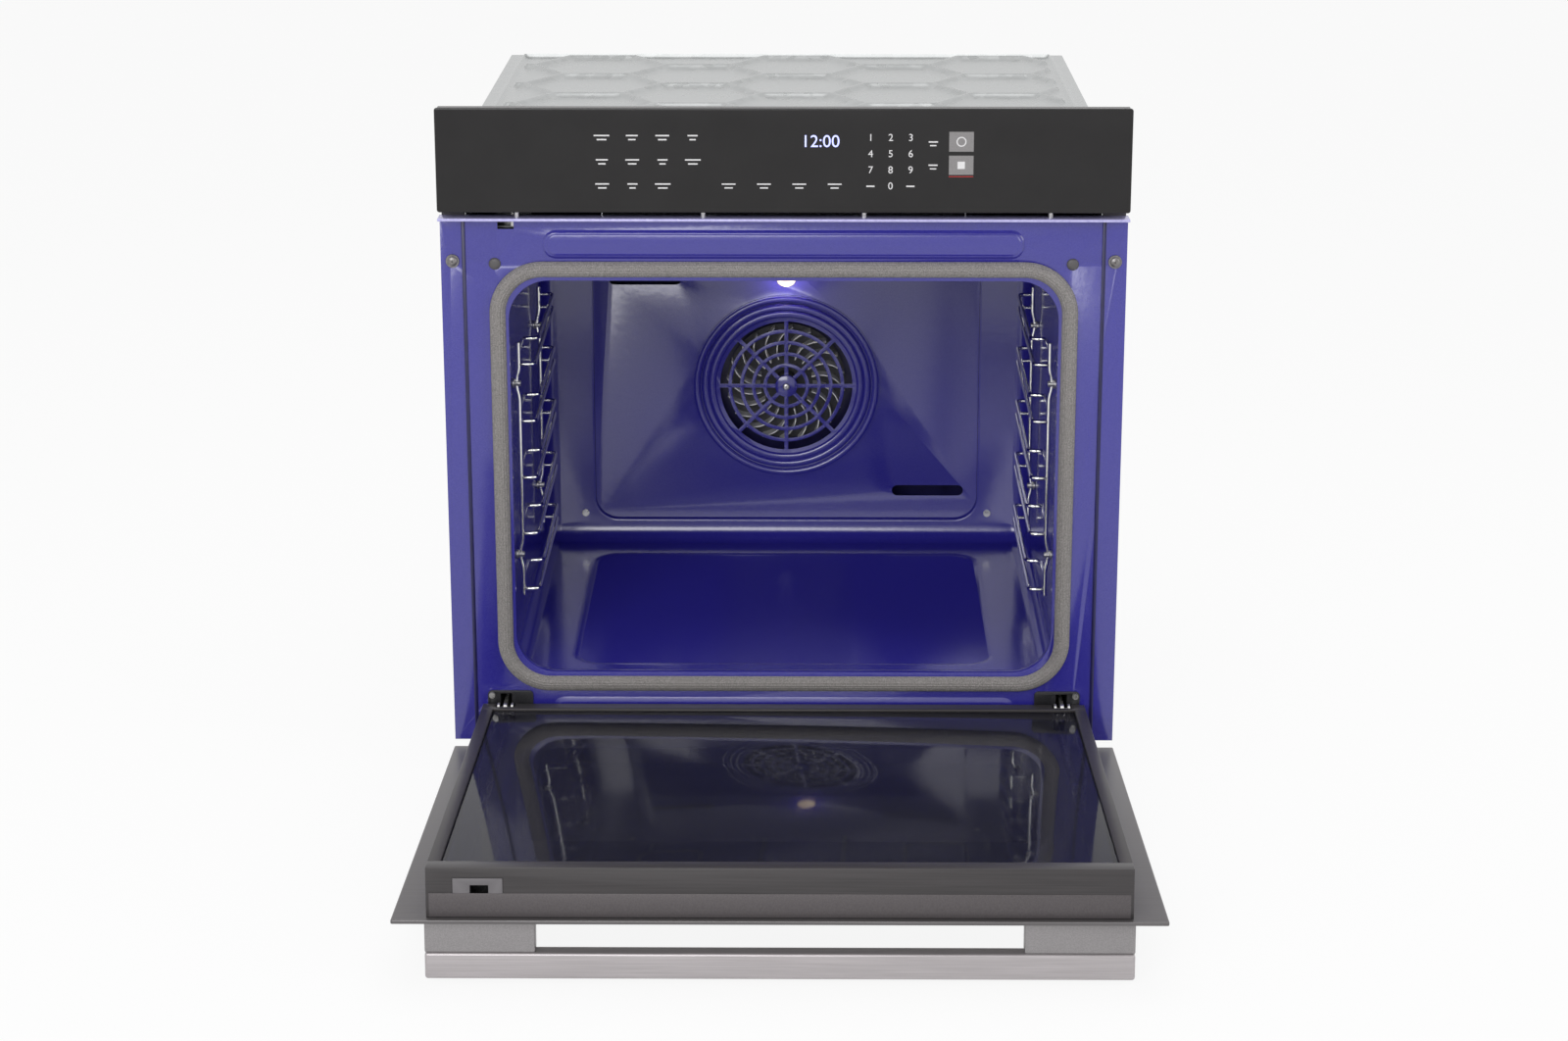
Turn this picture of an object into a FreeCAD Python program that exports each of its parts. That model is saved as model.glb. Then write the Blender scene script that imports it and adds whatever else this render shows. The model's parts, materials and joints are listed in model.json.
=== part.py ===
import FreeCAD, Part
import os
import re
import Sketcher
from functools import partial

# Built-in wall oven, drawn with its door lowered to the open stop.
# Frame: +X to the right, +Y into the cabinet, +Z up. Y = 0 is the cabinet's face, where the
# front frame's flanges land; Z = 0 is the underside of the chassis; X = 0 is the middle.
# Door pieces are drawn with the door shut and then swung about the hinge axis by hang().

SIZES = {
    # chassis and front frame
    "flange": 28, "frame_low": -15, "frame_high": 597, "sheet": 1,
    "chassis_width": 700, "chassis_depth": 592, "chassis_height": 684,
    "opening_lip": 6.3, "opening_low": 67.5, "opening_high": 526, "opening_corner": 45,
    "rib_width": 526, "rib_low": 554, "rib_high": 580, "rib_proud": 2.5,
    "fixing_inset": 15, "fixing_height": 548, "fixing_hole": 3.7, "fixing_shank": 2.5,
    "plug_place": 318.5, "plug_height": 545, "plug_radius": 6.7,
    "slot_place": 305.6, "slot_width": 17.9, "slot_low": 584, "slot_high": 594,
    # oven cavity
    "cavity_width": 622, "cavity_low": 66, "cavity_high": 545, "cavity_depth": 555,
    "cavity_corner": 20, "liner_wall": 1.5, "baffle_face": 508, "baffle_dish": 8,
    "baffle_room": 29, "baffle_low": 84, "baffle_high": 526, "baffle_rim": 35, "dish_low": 92,
    "dish_high": 518, "dish_corner": 28, "dish_slope": 8,
    "recess_front": 30, "recess_back": 443, "recess_shelf": 67, "recess_slope": 26,
    "recess_deep": 9, "fan_height": 269, "fan_ring": 120, "grille_radius": 87, "spoke": 5,
    "slot_long": 92, "slot_tall": 14, "slot_left": -180, "slot_left_height": 409,
    "slot_right": 183, "slot_right_height": 129,
    # rack guides
    "wire": 5, "guide_wall_gap": 8, "guide_front": 85, "guide_back": 366, "guide_low": 132,
    "guide_high": 434, "rail_reach": 26, "rail_stop": 142, "level_pitch": 67.4,
    "first_level": 138.9, "pair_gap": 16.3, "wire_bend": 8, "stud_low": 181, "stud_high": 386,
    # door gasket
    "gasket_reach": 15, "gasket_low": 45, "gasket_high": 548.4, "gasket_corner": 60,
    "gasket_band": 18.5, "gasket_proud": 9.6,
    # control panel
    "panel_low": 607, "panel_high": 722, "panel_face": -24, "panel_back": -2, "panel_glass": 4,
    "strip_low": 597, "strip_high": 600, "peg_inner": 88, "peg_outer": 292, "peg_radius": 3,
    # door
    "hinge_back": -13, "hinge_height": 26.4, "open_angle": 85.7, "door_low": 19.6,
    "door_high": 590.6, "door_face": -63, "skin": 4, "door_back": -8, "body_width": 688,
    "body_low": 21, "body_high": 582.6, "rail_wide": 13, "trim_lip": 3, "trim_high_lip": 20,
    "trim_low_lip": 22, "trim_wall": 1.5, "window_width": 480, "window_low": 190,
    "window_high": 460, "window_corner": 20, "pane": 4, "window_lap": 12,
    "handle_low": 550.6, "handle_tall": 20, "handle_width": 696, "post_width": 108.5,
    "post_long": 37, "bar_thick": 27, "strike_left": -318, "strike_right": -269,
    "strike_front": -55, "strike_back": -19, "strike_hole_left": -301, "strike_hole_right": -283,
    "strike_hole_front": -45, "strike_hole_back": -26,
    # hinges
    "hinge_place": 318, "arm_thick": 4, "pin_radius": 3, "running": 0.05, "eye_radius": 7.5,
    "cheek": 2.5, "channel_width": 18, "channel_high": 250, "bracket_inner": 287,
    "bracket_outer": 339, "bracket_low": 5, "bracket_high": 45, "bracket_thick": 2,
    "bail_back": -4, "bail_height": 16, "bail_pin": 1.5, "play": 0.3,
    # openings and what passes through them
    "lip_deep": 8, "fold_deep": 14, "plug_neck": 4, "hinge_low": 8, "hinge_high": 44,
    "dish_run": 20, "lamp_height": 413, "lamp_radius": 13, "probe_place": -230,
    "probe_height": 535, "probe_radius": 3, "broil_leg": 60, "broil_height": 531,
    "ring_leg": 100, "heater_radius": 3.2, "ring_proud": 3, "ring_band": 9, "row_pitch": 15,
    "row_open": 10.5,
    # insulation, deck and cooling air
    "wool_room": 5, "wool_low": 28, "wool_high": 576.7, "wool_back": 585, "deck_low": 577,
    "deck_back": 590.5, "duct_width": 400, "duct_low": 598, "duct_high": 614,
    "blower_width": 200, "blower_wall": 1.5, "blower_hollow": 82, "inlet_radius": 50,
    "blower_motor_radius": 42, "blower_motor_tall": 40, "fan_motor_radius": 36,
    "fan_motor_deep": 33, "hub_radius": 12, "blade": 1.5, "blade_root": 30,
    # door latch, seen from above: a slide carries a thin hook on a pin
    "hook_left": -300, "hook_right": -297.3, "hook_low": 590, "hook_high": 593.4,
    "hook_tip_low": 586.4, "hook_tip_front": 4, "hook_tip_back": 8, "latch_pin_place": 60,
    "latch_pin_height": 591.7, "latch_pin_radius": 1.5, "hook_eye": 4, "slide_left": -311,
    "slide_front": 40, "slide_back": 90, "slide_tall": 3, "latch_deck": 584, "latch_left": -325,
    "latch_right": -285, "latch_front": 16, "latch_back": 122, "latch_wall": 2,
    "cam_place": -304, "cam_depth": 100, "cam_radius": 12, "cam_low": 597, "cam_shaft": 3,
    "latch_motor_low": 602, "latch_motor_high": 630,
    # small fixings
    "screw_shank": 2, "baffle_screw_inset": 22, "baffle_screw_low": 101,
    "baffle_screw_high": 512, "screw_head": 4.5, "head_thick": 3, "washer_radius": 7.5,
    "fixing_head": 5.5, "fixing_reach": 25, "stud_radius": 3.5,
    # spring rods in the door
    "spring_low": 80, "spring_high": 200, "spring_radius": 6.5, "spring_rod_radius": 3,
    "spring_rod_low": 60, "spring_rod_high": 215,
    # supply and heaters
    "terminal_place": 250, "terminal_height": 650, "inlet_bore": 12, "heater_tail": 580,
    "wool_ring_width": 610, "wool_ring_low": 60, "wool_ring_high": 545, "middle_face": -36,
    "inner_glass_front": -16, "inner_notch": -40, "ring_depth": 535, "lamp_seat": 540,
    "display_left": 10, "display_right": 70, "display_low": 668, "display_high": 704,
    "hinge_screw_upper": 334, "hinge_screw_upper_height": 40,
    "hinge_screw_lower": 293.5, "hinge_screw_lower_height": 16,
    # fans
    "fan_radius": 76, "fan_deep": 22, "fan_back": 545, "shaft_radius": 4, "wheel_radius": 72,
    "wheel_tall": 45, "blower_place": 300, "blower_low": 579, "blower_high": 631,
}

# sizes that follow from the ones above
FOLLOWING = {
    "frame_width": "chassis_width + flange * 2",
    "fixing_spacing": "chassis_width + fixing_inset * 2",
    "wool_width": "chassis_width - wool_room * 2",
    "opening_width": "cavity_width - opening_lip * 2",
    "gasket_width": "cavity_width + gasket_reach * 2",
    "rail_place": "cavity_width / 2 - rail_reach",
    "baffle_width": "cavity_width - baffle_room * 2",
    "dish_width": "baffle_width - baffle_rim * 2",
    "baffle_screw_place": "baffle_width / 2 - baffle_screw_inset",
    "recess_width": "cavity_width - recess_shelf * 2",
    "recess_floor_width": "recess_width - recess_slope * 2",
}

doc = FreeCAD.newDocument("WallOven")
sheet = doc.addObject("Spreadsheet::Sheet", "Size")
for row, (alias, value) in enumerate(SIZES.items(), start=1):
    sheet.set(f"A{row}", alias)
    sheet.set(f"B{row}", str(value))
    sheet.setAlias(f"B{row}", alias)
doc.recompute()

NODES = {}
SIDES = (("left", -1), ("right", 1))


def sized(text):
    """Point every size name in an expression at the sheet, with following sizes written out."""
    def named(match):
        word = match.group()
        if word in FOLLOWING:
            return f"({sized(FOLLOWING[word])})"
        return word if word in ("sin", "cos") else "Size." + word
    return re.sub(r"[a-z][a-z_0-9]*", named, str(text))


def bind(item, **expressions):
    """Bind properties to expressions; a double underscore stands for a dot."""
    for name, text in expressions.items():
        item.setExpression(name.replace("__", "."), sized(text))


def place(item, x, y, z):
    """Bind where an item stands."""
    bind(item, Placement__Base__x=x, Placement__Base__y=y, Placement__Base__z=z)


def span(sign, low, high):
    """Mirror a stretch of X to the side that sign names."""
    return (low, high) if sign > 0 else (f"-({high})", f"-({low})")


def box(label, x, y, z):
    """A block between three pairs of limits."""
    item = doc.addObject("Part::Box", label)
    bind(item, Length=f"({x[1]}) - ({x[0]})", Width=f"({y[1]}) - ({y[0]})",
         Height=f"({z[1]}) - ({z[0]})")
    place(item, *(limits[0] for limits in (x, y, z)))
    return item


TURNS = {
    "X": FreeCAD.Rotation(FreeCAD.Vector(0, 1, 0), 90),
    "Y": FreeCAD.Rotation(FreeCAD.Vector(1, 0, 0), -90),
    "Z": FreeCAD.Rotation(),
}


def rod(label, axis, start, radius, length):
    """A round bar from its start point along an axis."""
    item = doc.addObject("Part::Cylinder", label)
    item.Placement = FreeCAD.Placement(FreeCAD.Vector(), TURNS[axis])
    bind(item, Radius=radius, Height=length)
    place(item, *start)
    return item


def cut(label, base, *tools):
    """Take tools away from a base."""
    item = doc.addObject("Part::Cut", label)
    item.Base = base
    item.Tool = tools[0] if len(tools) == 1 else fuse(label + "_tools", *tools)
    return item


def fuse(label, *items):
    """Join touching items into one solid."""
    item = doc.addObject("Part::MultiFuse", label)
    item.Shapes = list(items)
    item.Refine = True
    return item


def group(label, *items):
    """Keep items as separate solids under one label."""
    item = doc.addObject("Part::Compound", label)
    item.Links = list(items)
    return item


def node(item):
    """Count an item as a finished sub-part of the oven."""
    item.Label = item.Name
    NODES[item.Name] = item
    return item


def hang(label, *items):
    """Swing pieces drawn on the shut door to the open stop, and count them as one sub-part."""
    item = group(label, *items)
    item.Placement = FreeCAD.Placement(
        FreeCAD.Vector(), FreeCAD.Rotation(FreeCAD.Vector(1, 0, 0), 1))
    bind(item, Placement__Rotation__Angle="open_angle")
    place(item, "0",
          "hinge_back - hinge_back * cos(open_angle) + hinge_height * sin(open_angle)",
          "hinge_height - hinge_back * sin(open_angle) - hinge_height * cos(open_angle)")
    return node(item)


def origin_plane(body, role):
    """Find one of a body's own base planes."""
    return next(item for item in body.Origin.OriginFeatures if item.Role == role)


def outline(sketch, name, x, z, corner=None):
    """Add a closed rectangle, with rounded corners if corner is given, bound to the sheet."""
    left, right, low, high = (number(text) for text in (*x, *z))
    radius = number(corner) if corner else 0
    first = sketch.GeometryCount
    turn = FreeCAD.Vector(0, 0, 1)
    arcs = ((right - radius, low + radius, 270), (right - radius, high - radius, 0),
            (left + radius, high - radius, 90), (left + radius, low + radius, 180))
    ends = (((left + radius, low), (right - radius, low)), ((right, low + radius), (right, high - radius)),
            ((right - radius, high), (left + radius, high)), ((left, high - radius), (left, low + radius)))
    for (start, end), (middle_x, middle_z, angle) in zip(ends, arcs):
        sketch.addGeometry(Part.LineSegment(FreeCAD.Vector(*start), FreeCAD.Vector(*end)))
        if corner:
            circle = Part.Circle(FreeCAD.Vector(middle_x, middle_z), turn, radius)
            begin = FreeCAD.Units.Quantity(angle, "deg").getValueAs("rad")
            quarter = FreeCAD.Units.Quantity(90, "deg").getValueAs("rad")
            sketch.addGeometry(Part.ArcOfCircle(circle, begin, begin + quarter))
    count = sketch.GeometryCount - first
    step = 2 if corner else 1
    for index in range(count):
        following = first + (index + 1) % count
        sketch.addConstraint(Sketcher.Constraint(
            "Tangent" if corner else "Coincident", first + index, 2, following, 1))
    for index, way in enumerate(("Horizontal", "Vertical", "Horizontal", "Vertical")):
        sketch.addConstraint(Sketcher.Constraint(way, first + index * step))
    if corner:
        for index in (3, 5, 7):
            sketch.addConstraint(Sketcher.Constraint("Equal", first + 1, first + index))
        limit(sketch, name + "_corner", corner, "Radius", first + 1, radius)
    limit(sketch, name + "_low", z[0], "DistanceY", -1, 1, first, 1, low)
    limit(sketch, name + "_right", x[1], "DistanceX", -1, 1, first + step, 1, right)
    limit(sketch, name + "_high", z[1], "DistanceY", -1, 1, first + 2 * step, 1, high)
    limit(sketch, name + "_left", x[0], "DistanceX", -1, 1, first + 3 * step, 1, left)


def limit(sketch, name, text, kind, *values):
    """Add one dimension to a sketch and bind it to the sheet."""
    index = sketch.addConstraint(Sketcher.Constraint(kind, *values))
    sketch.renameConstraint(index, name)
    sketch.setExpression("Constraints." + name, sized(text))


def number(text):
    """Work an expression out with the sheet's present values."""
    return float(sheet.evalExpression(re.sub(r"Size\.", "", sized(text))))


def upright_sketch(body, label, y):
    """A sketch parallel to the oven's front, standing at y."""
    sketch = body.newObject("Sketcher::SketchObject", label)
    sketch.AttachmentSupport = [(origin_plane(body, "XZ_Plane"), "")]
    sketch.MapMode = "FlatFace"
    sketch.setExpression("AttachmentOffset.Base.z", sized(f"-({y})"))
    return sketch


def plate(label, x, z, y, corner=None, holes=()):
    """An upright plate padded from a sketch; holes are (x, z, corner) outlines."""
    body = doc.addObject("PartDesign::Body", label)
    sketch = upright_sketch(body, label + "_sketch", y[0])
    outline(sketch, "edge", x, z, corner)
    for count, (hole_x, hole_z, hole_corner) in enumerate(holes):
        outline(sketch, f"hole{count}", hole_x, hole_z, hole_corner)
    pad = body.newObject("PartDesign::Pad", label + "_pad")
    pad.Profile = sketch
    pad.Reversed = True
    bind(pad, Length=f"({y[1]}) - ({y[0]})")
    return body


def half(size):
    """The two limits of a width that is centred on X = 0."""
    return (f"-({size}) / 2", f"({size}) / 2")


def rounded_slot(label, x, z, y, width, height):
    """A bar with half-round ends, centred at x and z, to cut a slot."""
    return plate(label, (f"{x} - {width} / 2", f"{x} + {width} / 2"),
                 (f"{z} - {height} / 2", f"{z} + {height} / 2"), y, f"{height} / 2.01")


def front_frame():
    """Enamelled front with the oven's opening, side folds, screw holes and the latch slot."""
    face = plate("frame_face", half("frame_width"), ("frame_low", "frame_high"), ("-sheet", "0"),
                 None, [(half("opening_width"), ("opening_low", "opening_high"), "opening_corner")])
    rib = plate("frame_rib", half("rib_width"), ("rib_low", "rib_high"),
                ("-sheet - rib_proud", "-sheet"), "11")
    lip = plate("frame_lip", ("-opening_width / 2 - sheet", "opening_width / 2 + sheet"),
                ("opening_low - sheet", "opening_high + sheet"), ("0", "lip_deep"),
                "opening_corner + sheet",
                [(half("opening_width"), ("opening_low", "opening_high"), "opening_corner")])
    holes = []
    folds = []
    for side, sign in SIDES:
        fold_x = span(sign, "chassis_width / 2 - sheet * 2", "chassis_width / 2 - sheet")
        folds.append(box("frame_fold_" + side, fold_x, ("0", "fold_deep"), ("sheet", "frame_high")))
        holes.append(rod("frame_fixing_" + side, "Y",
                         (f"{sign} * fixing_spacing / 2", "-sheet * 2", "fixing_height"),
                         "fixing_hole", "sheet * 3"))
        holes.append(rod("frame_plug_hole_" + side, "Y",
                         (f"{sign} * plug_place", "-sheet * 2", "plug_height"),
                         "plug_neck", "sheet * 3"))
        holes.append(box("frame_hinge_hole_" + side,
                         span(sign, "hinge_place - channel_width / 2", "hinge_place + channel_width / 2"),
                         ("-sheet * 2", "sheet"), ("hinge_low", "hinge_high")))
        for name in ("upper", "lower"):
            holes.append(rod(f"frame_hinge_screw_{side}_{name}", "Y",
                             (f"{sign} * hinge_screw_{name}", "-sheet * 2",
                              f"hinge_screw_{name}_height"), "screw_shank + running", "sheet * 3"))
    holes.append(box("frame_latch_hole",
                     ("-slot_place - slot_width / 2", "-slot_place + slot_width / 2"),
                     ("-sheet * 2", "sheet"), ("slot_low", "slot_high")))
    return node(cut("front_frame", fuse("frame_whole", face, rib, lip, *folds), *holes))


def oven_liner():
    """Enamelled cavity: a deep open-fronted box with a dished floor and holes for what passes in."""
    outer = plate("liner_outer", ("-cavity_width / 2 - liner_wall", "cavity_width / 2 + liner_wall"),
                  ("cavity_low - liner_wall", "cavity_high + liner_wall"),
                  ("play", "cavity_depth + liner_wall"), "cavity_corner + liner_wall")
    inner = plate("liner_inner", half("cavity_width"), ("cavity_low", "cavity_high"),
                  ("-sheet", "cavity_depth"), "cavity_corner")
    dish = box("liner_dish", ("-recess_width / 2 - liner_wall", "recess_width / 2 + liner_wall"),
               ("recess_front - liner_wall", "recess_back + liner_wall"),
               ("cavity_low - recess_deep - liner_wall", "cavity_low - liner_wall / 2"))
    hollow = doc.addObject("Part::Wedge", "liner_dish_hollow")
    hollow.Placement = FreeCAD.Placement(FreeCAD.Vector(), FreeCAD.Rotation(FreeCAD.Vector(1, 0, 0), 90))
    bind(hollow, Xmin="-recess_floor_width / 2", Xmax="recess_floor_width / 2",
         X2min="-recess_width / 2", X2max="recess_width / 2", Ymin="0", Ymax="recess_deep + 0.01",
         Zmin="-recess_back + dish_run", Zmax="-recess_front - dish_run",
         Z2min="-recess_back", Z2max="-recess_front")
    place(hollow, "0", "0", "cavity_low - recess_deep")
    holes = [
        rod("liner_shaft_hole", "Y", ("0", "cavity_depth - liner_wall", "fan_height"),
            "shaft_radius + play", "liner_wall * 4"),
        rod("liner_lamp_hole", "Y", ("0", "cavity_depth - liner_wall", "lamp_height"),
            "lamp_radius - liner_wall", "liner_wall * 4"),
        rod("liner_probe_hole", "Y", ("probe_place", "cavity_depth - liner_wall", "probe_height"),
            "probe_radius + running", "liner_wall * 4"),
    ]
    for side, sign in SIDES:
        for part, place_x, y, z in (
                ("broil", "broil_leg", "cavity_depth - liner_wall", "broil_height"),
                ("ring", "ring_leg", "cavity_depth - liner_wall", "fan_height")):
            holes.append(rod(f"liner_{part}_hole_{side}", "Y", (f"{sign} * {place_x}", y, z),
                             "heater_radius + 0.8 + running", "liner_wall * 4"))
    return node(cut("oven_liner", fuse("liner_shell", outer, dish), inner, hollow, *holes))


def fan_cover():
    """Dished rear baffle with a ringed, slotted grille in front of the fan and two air slots."""
    flange = plate("baffle_flange", half("baffle_width"), ("baffle_low", "baffle_high"),
                   ("baffle_face", "baffle_face + baffle_dish + sheet"), "dish_corner")
    dish = plate("baffle_dish_hollow", half("dish_width"), ("dish_low", "dish_high"),
                 ("baffle_face - sheet", "baffle_face + baffle_dish"), "dish_corner")
    back = plate("baffle_back_hollow",
                 ("-baffle_width / 2 - sheet", "-dish_width / 2 - sheet"),
                 ("baffle_low - sheet", "baffle_high + sheet"),
                 ("baffle_face + sheet", "baffle_face + baffle_dish + sheet * 2"))
    back_right = plate("baffle_back_hollow_right",
                       ("dish_width / 2 + sheet", "baffle_width / 2 + sheet"),
                       ("baffle_low - sheet", "baffle_high + sheet"),
                       ("baffle_face + sheet", "baffle_face + baffle_dish + sheet * 2"))
    behind = "baffle_face + baffle_dish"
    ring = cut("baffle_ring", rod("baffle_ring_outer", "Y", ("0", f"{behind} - ring_proud", "fan_height"),
                                  "fan_ring", "ring_proud + sheet / 2"),
               rod("baffle_ring_inner", "Y", ("0", f"{behind} - ring_proud - sheet", "fan_height"),
                   "fan_ring - ring_band", "ring_proud + sheet * 3"))
    rows = []
    for count in range(5):
        outer = rod(f"grille_row_{count}", "Y", ("0", f"{behind} - sheet", "fan_height"),
                    f"grille_radius - 2 - {count} * row_pitch", "sheet * 3")
        inner = rod(f"grille_rib_{count}", "Y", ("0", f"{behind} - sheet * 2", "fan_height"),
                    f"grille_radius - 2 - {count} * row_pitch - row_open", "sheet * 5")
        rows.append(cut(f"grille_slot_{count}", outer, inner))
    spokes = []
    for count in range(4):
        spoke = box(f"grille_spoke_{count}", ("-grille_radius", "grille_radius"),
                    (behind + " - sheet * 2", behind + " + sheet * 3"), ("-spoke / 2", "spoke / 2"))
        spokes.append(turned(spoke, 45 * count, "fan_height"))
    openings = cut("grille_openings", group("grille_slots", *rows), *spokes)
    slots = [rounded_slot("baffle_slot_left", "slot_left", "slot_left_height",
                          (behind + " - sheet", behind + " + sheet * 2"), "slot_long", "slot_tall"),
             rounded_slot("baffle_slot_right", "slot_right", "slot_right_height",
                          (behind + " - sheet", behind + " + sheet * 2"), "slot_long", "slot_tall"),
             rod("baffle_lamp_hole", "Y", ("0", behind + " - sheet", "lamp_height"),
                 "lamp_radius + play", "sheet * 3")]
    for side, sign in SIDES:
        for level in ("low", "high"):
            slots.append(rod(f"baffle_hole_{side}_{level}", "Y",
                             (f"{sign} * baffle_screw_place", "baffle_face - sheet",
                              "baffle_screw_" + level), "screw_shank + running", "sheet * 3"))
    solid = fuse("baffle_solid", cut("baffle_plate", flange, dish, back, back_right), ring)
    return node(cut("fan_cover", solid, openings, *slots))


def turned(item, degrees, height):
    """Turn a bar drawn along X, centred on the origin, about the fan's axis."""
    holder = group(item.Name + "_turned", item)
    holder.Placement = FreeCAD.Placement(
        FreeCAD.Vector(), FreeCAD.Rotation(FreeCAD.Vector(0, 1, 0), degrees))
    place(holder, "0", "0", height)
    return holder


def chassis():
    """Sheet-metal box round the oven: sides, top, back, base, deck and the panel's support."""
    inside = half("chassis_width - 2 * sheet")
    deep = ("0", "chassis_depth - sheet")
    top = "chassis_height - sheet"
    node(group("side_panels", *(
        box("side_panel_" + side, span(sign, "chassis_width / 2 - sheet", "chassis_width / 2"),
            deep, ("0", top)) for side, sign in SIDES)))
    node(box("top_cover", half("chassis_width"), ("panel_back", "chassis_depth"),
             (top, "chassis_height")))
    back = box("rear_sheet", half("chassis_width"), ("chassis_depth - sheet", "chassis_depth"), ("0", top))
    inlet = rod("rear_cable_inlet", "Y", ("terminal_place", "chassis_depth - sheet * 2", "terminal_height"),
                "inlet_bore", "sheet * 3")
    node(cut("rear_cover", back, inlet))
    node(box("base_pan", inside, deep, ("0", "sheet")))
    node(box("upper_deck", ("-chassis_width / 2 + sheet * 2 + play", "chassis_width / 2 - sheet * 2 - play"),
             ("sheet", "deck_back"), ("deck_low", "deck_low + sheet")))
    node(box("panel_support", inside, ("panel_back", "0"), ("duct_high + sheet", top)))


def insulation():
    """Mineral wool packed round the cavity, open at the front and behind the fan and lamp."""
    outer = box("wool_outer", half("wool_width"), ("lip_deep", "wool_back"), ("wool_low", "wool_high"))
    room = "(liner_wall + play)"
    inner = box("wool_inner", (f"-cavity_width / 2 - {room}", f"cavity_width / 2 + {room}"),
                ("0", f"cavity_depth + {room}"),
                (f"cavity_low - recess_deep - {room} - play - heater_radius * 2",
                 f"cavity_high + {room}"))
    window = box("wool_window", ("-ring_leg - 12", "ring_leg + 12"), ("cavity_depth", "wool_back + 1"),
                 ("fan_height - ring_leg - 12", "broil_height + 8"))
    probe = rod("wool_probe_hole", "Y", ("probe_place", "cavity_depth", "probe_height"),
                "probe_radius + play", "wool_back - cavity_depth + 1")
    notches = [box("wool_notch_" + side, span(sign, "bracket_inner", "wool_width / 2 + 1"),
                   ("0", "64"), ("wool_low - 1", "hinge_high + 4")) for side, sign in SIDES]
    node(cut("insulation", outer, inner, window, probe, *notches))


def door_gasket():
    """Braided seal on the frame round the oven's opening."""
    inner = ("gasket_low + gasket_band", "gasket_high - gasket_band")
    node(plate("door_gasket", half("gasket_width"), ("gasket_low", "gasket_high"),
               ("-sheet - gasket_proud", "-sheet"), "gasket_corner",
               [(half("gasket_width - gasket_band * 2"), inner, "gasket_corner - gasket_band")]))


def bent_bar(label, points, radius, bend):
    """A round bar along straight runs joined by tangent arcs; points and sizes are expressions."""
    corners = [FreeCAD.Vector(*(number(text) for text in point)) for point in points]
    turn = number(bend)
    edges = []
    start = corners[0]
    for before, corner, after in zip(corners, corners[1:], corners[2:]):
        back = (before - corner).normalize()
        ahead = (after - corner).normalize()
        first = corner + back * turn
        last = corner + ahead * turn
        middle = corner + (back + ahead) * turn + (back + ahead).normalize() * -turn
        edges.append(Part.LineSegment(start, first).toShape())
        edges.append(Part.Arc(first, middle, last).toShape())
        start = last
    edges.append(Part.LineSegment(start, corners[-1]).toShape())
    path = Part.Wire(edges)
    circle = Part.makeCircle(number(radius), corners[0], corners[1] - corners[0])
    item = doc.addObject("Part::Feature", label)
    item.Shape = path.makePipeShell([Part.Wire(circle)], True, True)
    return item


def rack_guides():
    """Chrome wire ladders: two uprights a side with five pairs of rails, and their wall studs."""
    wall = "cavity_width / 2"
    upright = f"({wall} - guide_wall_gap)"
    for side, sign in SIDES:
        wires = []
        for end in ("front", "back"):
            wires.append(rod(f"upright_{side}_{end}", "Z",
                             (f"{sign} * {upright}", "guide_" + end, "guide_low"),
                             "wire / 2", "guide_high - guide_low"))
            for level in ("low", "high"):
                start = span(sign, f"{upright} + wire / 2", wall)[0]
                wires.append(rod(f"stud_{side}_{end}_{level}", "X",
                                 (start, "guide_" + end, "stud_" + level),
                                 "stud_radius", "guide_wall_gap - wire / 2"))
        meet = f"{sign} * ({upright} - wire / 2)"
        rail = f"{sign} * rail_place"
        for count in range(5):
            height = f"first_level + {count} * level_pitch"
            wires.append(bent_bar(f"rail_{side}_{count}", [
                (meet, "guide_front", height), (rail, "guide_front", height),
                (rail, "guide_back", height), (meet, "guide_back", height)], "wire / 2", "wire_bend"))
            height += " + pair_gap"
            wires.append(bent_bar(f"stop_{side}_{count}", [
                (meet, "guide_back", height), (rail, "guide_back", height),
                (rail, "rail_stop", height), (f"{sign} * {upright}", "rail_stop", height),
                (f"{sign} * {upright}", "guide_front + wire / 2", height)],
                "wire / 2", "wire_bend"))
        node(group("rack_guide_" + side, *wires))


def heaters():
    """Broil element under the roof, hidden bake element below the floor and the fan's ring."""
    loops = [("-broil_leg", "heater_tail"), ("-broil_leg", "100"), ("-150", "100"), ("-150", "440"),
             ("-240", "440"), ("-240", "50"), ("240", "50"), ("240", "440"), ("150", "440"),
             ("150", "100"), ("broil_leg", "100"), ("broil_leg", "heater_tail")]
    node(bent_bar("broil_element", [(x, y, "broil_height") for x, y in loops], "heater_radius", "30"))
    low = "cavity_low - recess_deep - liner_wall - play - heater_radius"
    loops = [("-40", "540"), ("-40", "90"), ("-120", "90"), ("-120", "400"), ("-200", "400"),
             ("-200", "40"), ("200", "40"), ("200", "400"), ("120", "400"), ("120", "90"),
             ("40", "90"), ("40", "540")]
    node(bent_bar("bake_element", [(x, y, low) for x, y in loops], "heater_radius", "30"))
    ring = doc.addObject("Part::Torus", "ring_loop")
    ring.Placement = FreeCAD.Placement(FreeCAD.Vector(), TURNS["Y"])
    bind(ring, Radius1="ring_leg", Radius2="heater_radius")
    place(ring, "0", "ring_depth", "fan_height")
    legs = [rod("ring_leg_" + side, "Y", (f"{sign} * ring_leg", "ring_depth", "fan_height"),
                "heater_radius + 0.8", "heater_tail - ring_depth") for side, sign in SIDES]
    node(fuse("ring_element", ring, *legs))


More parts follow.
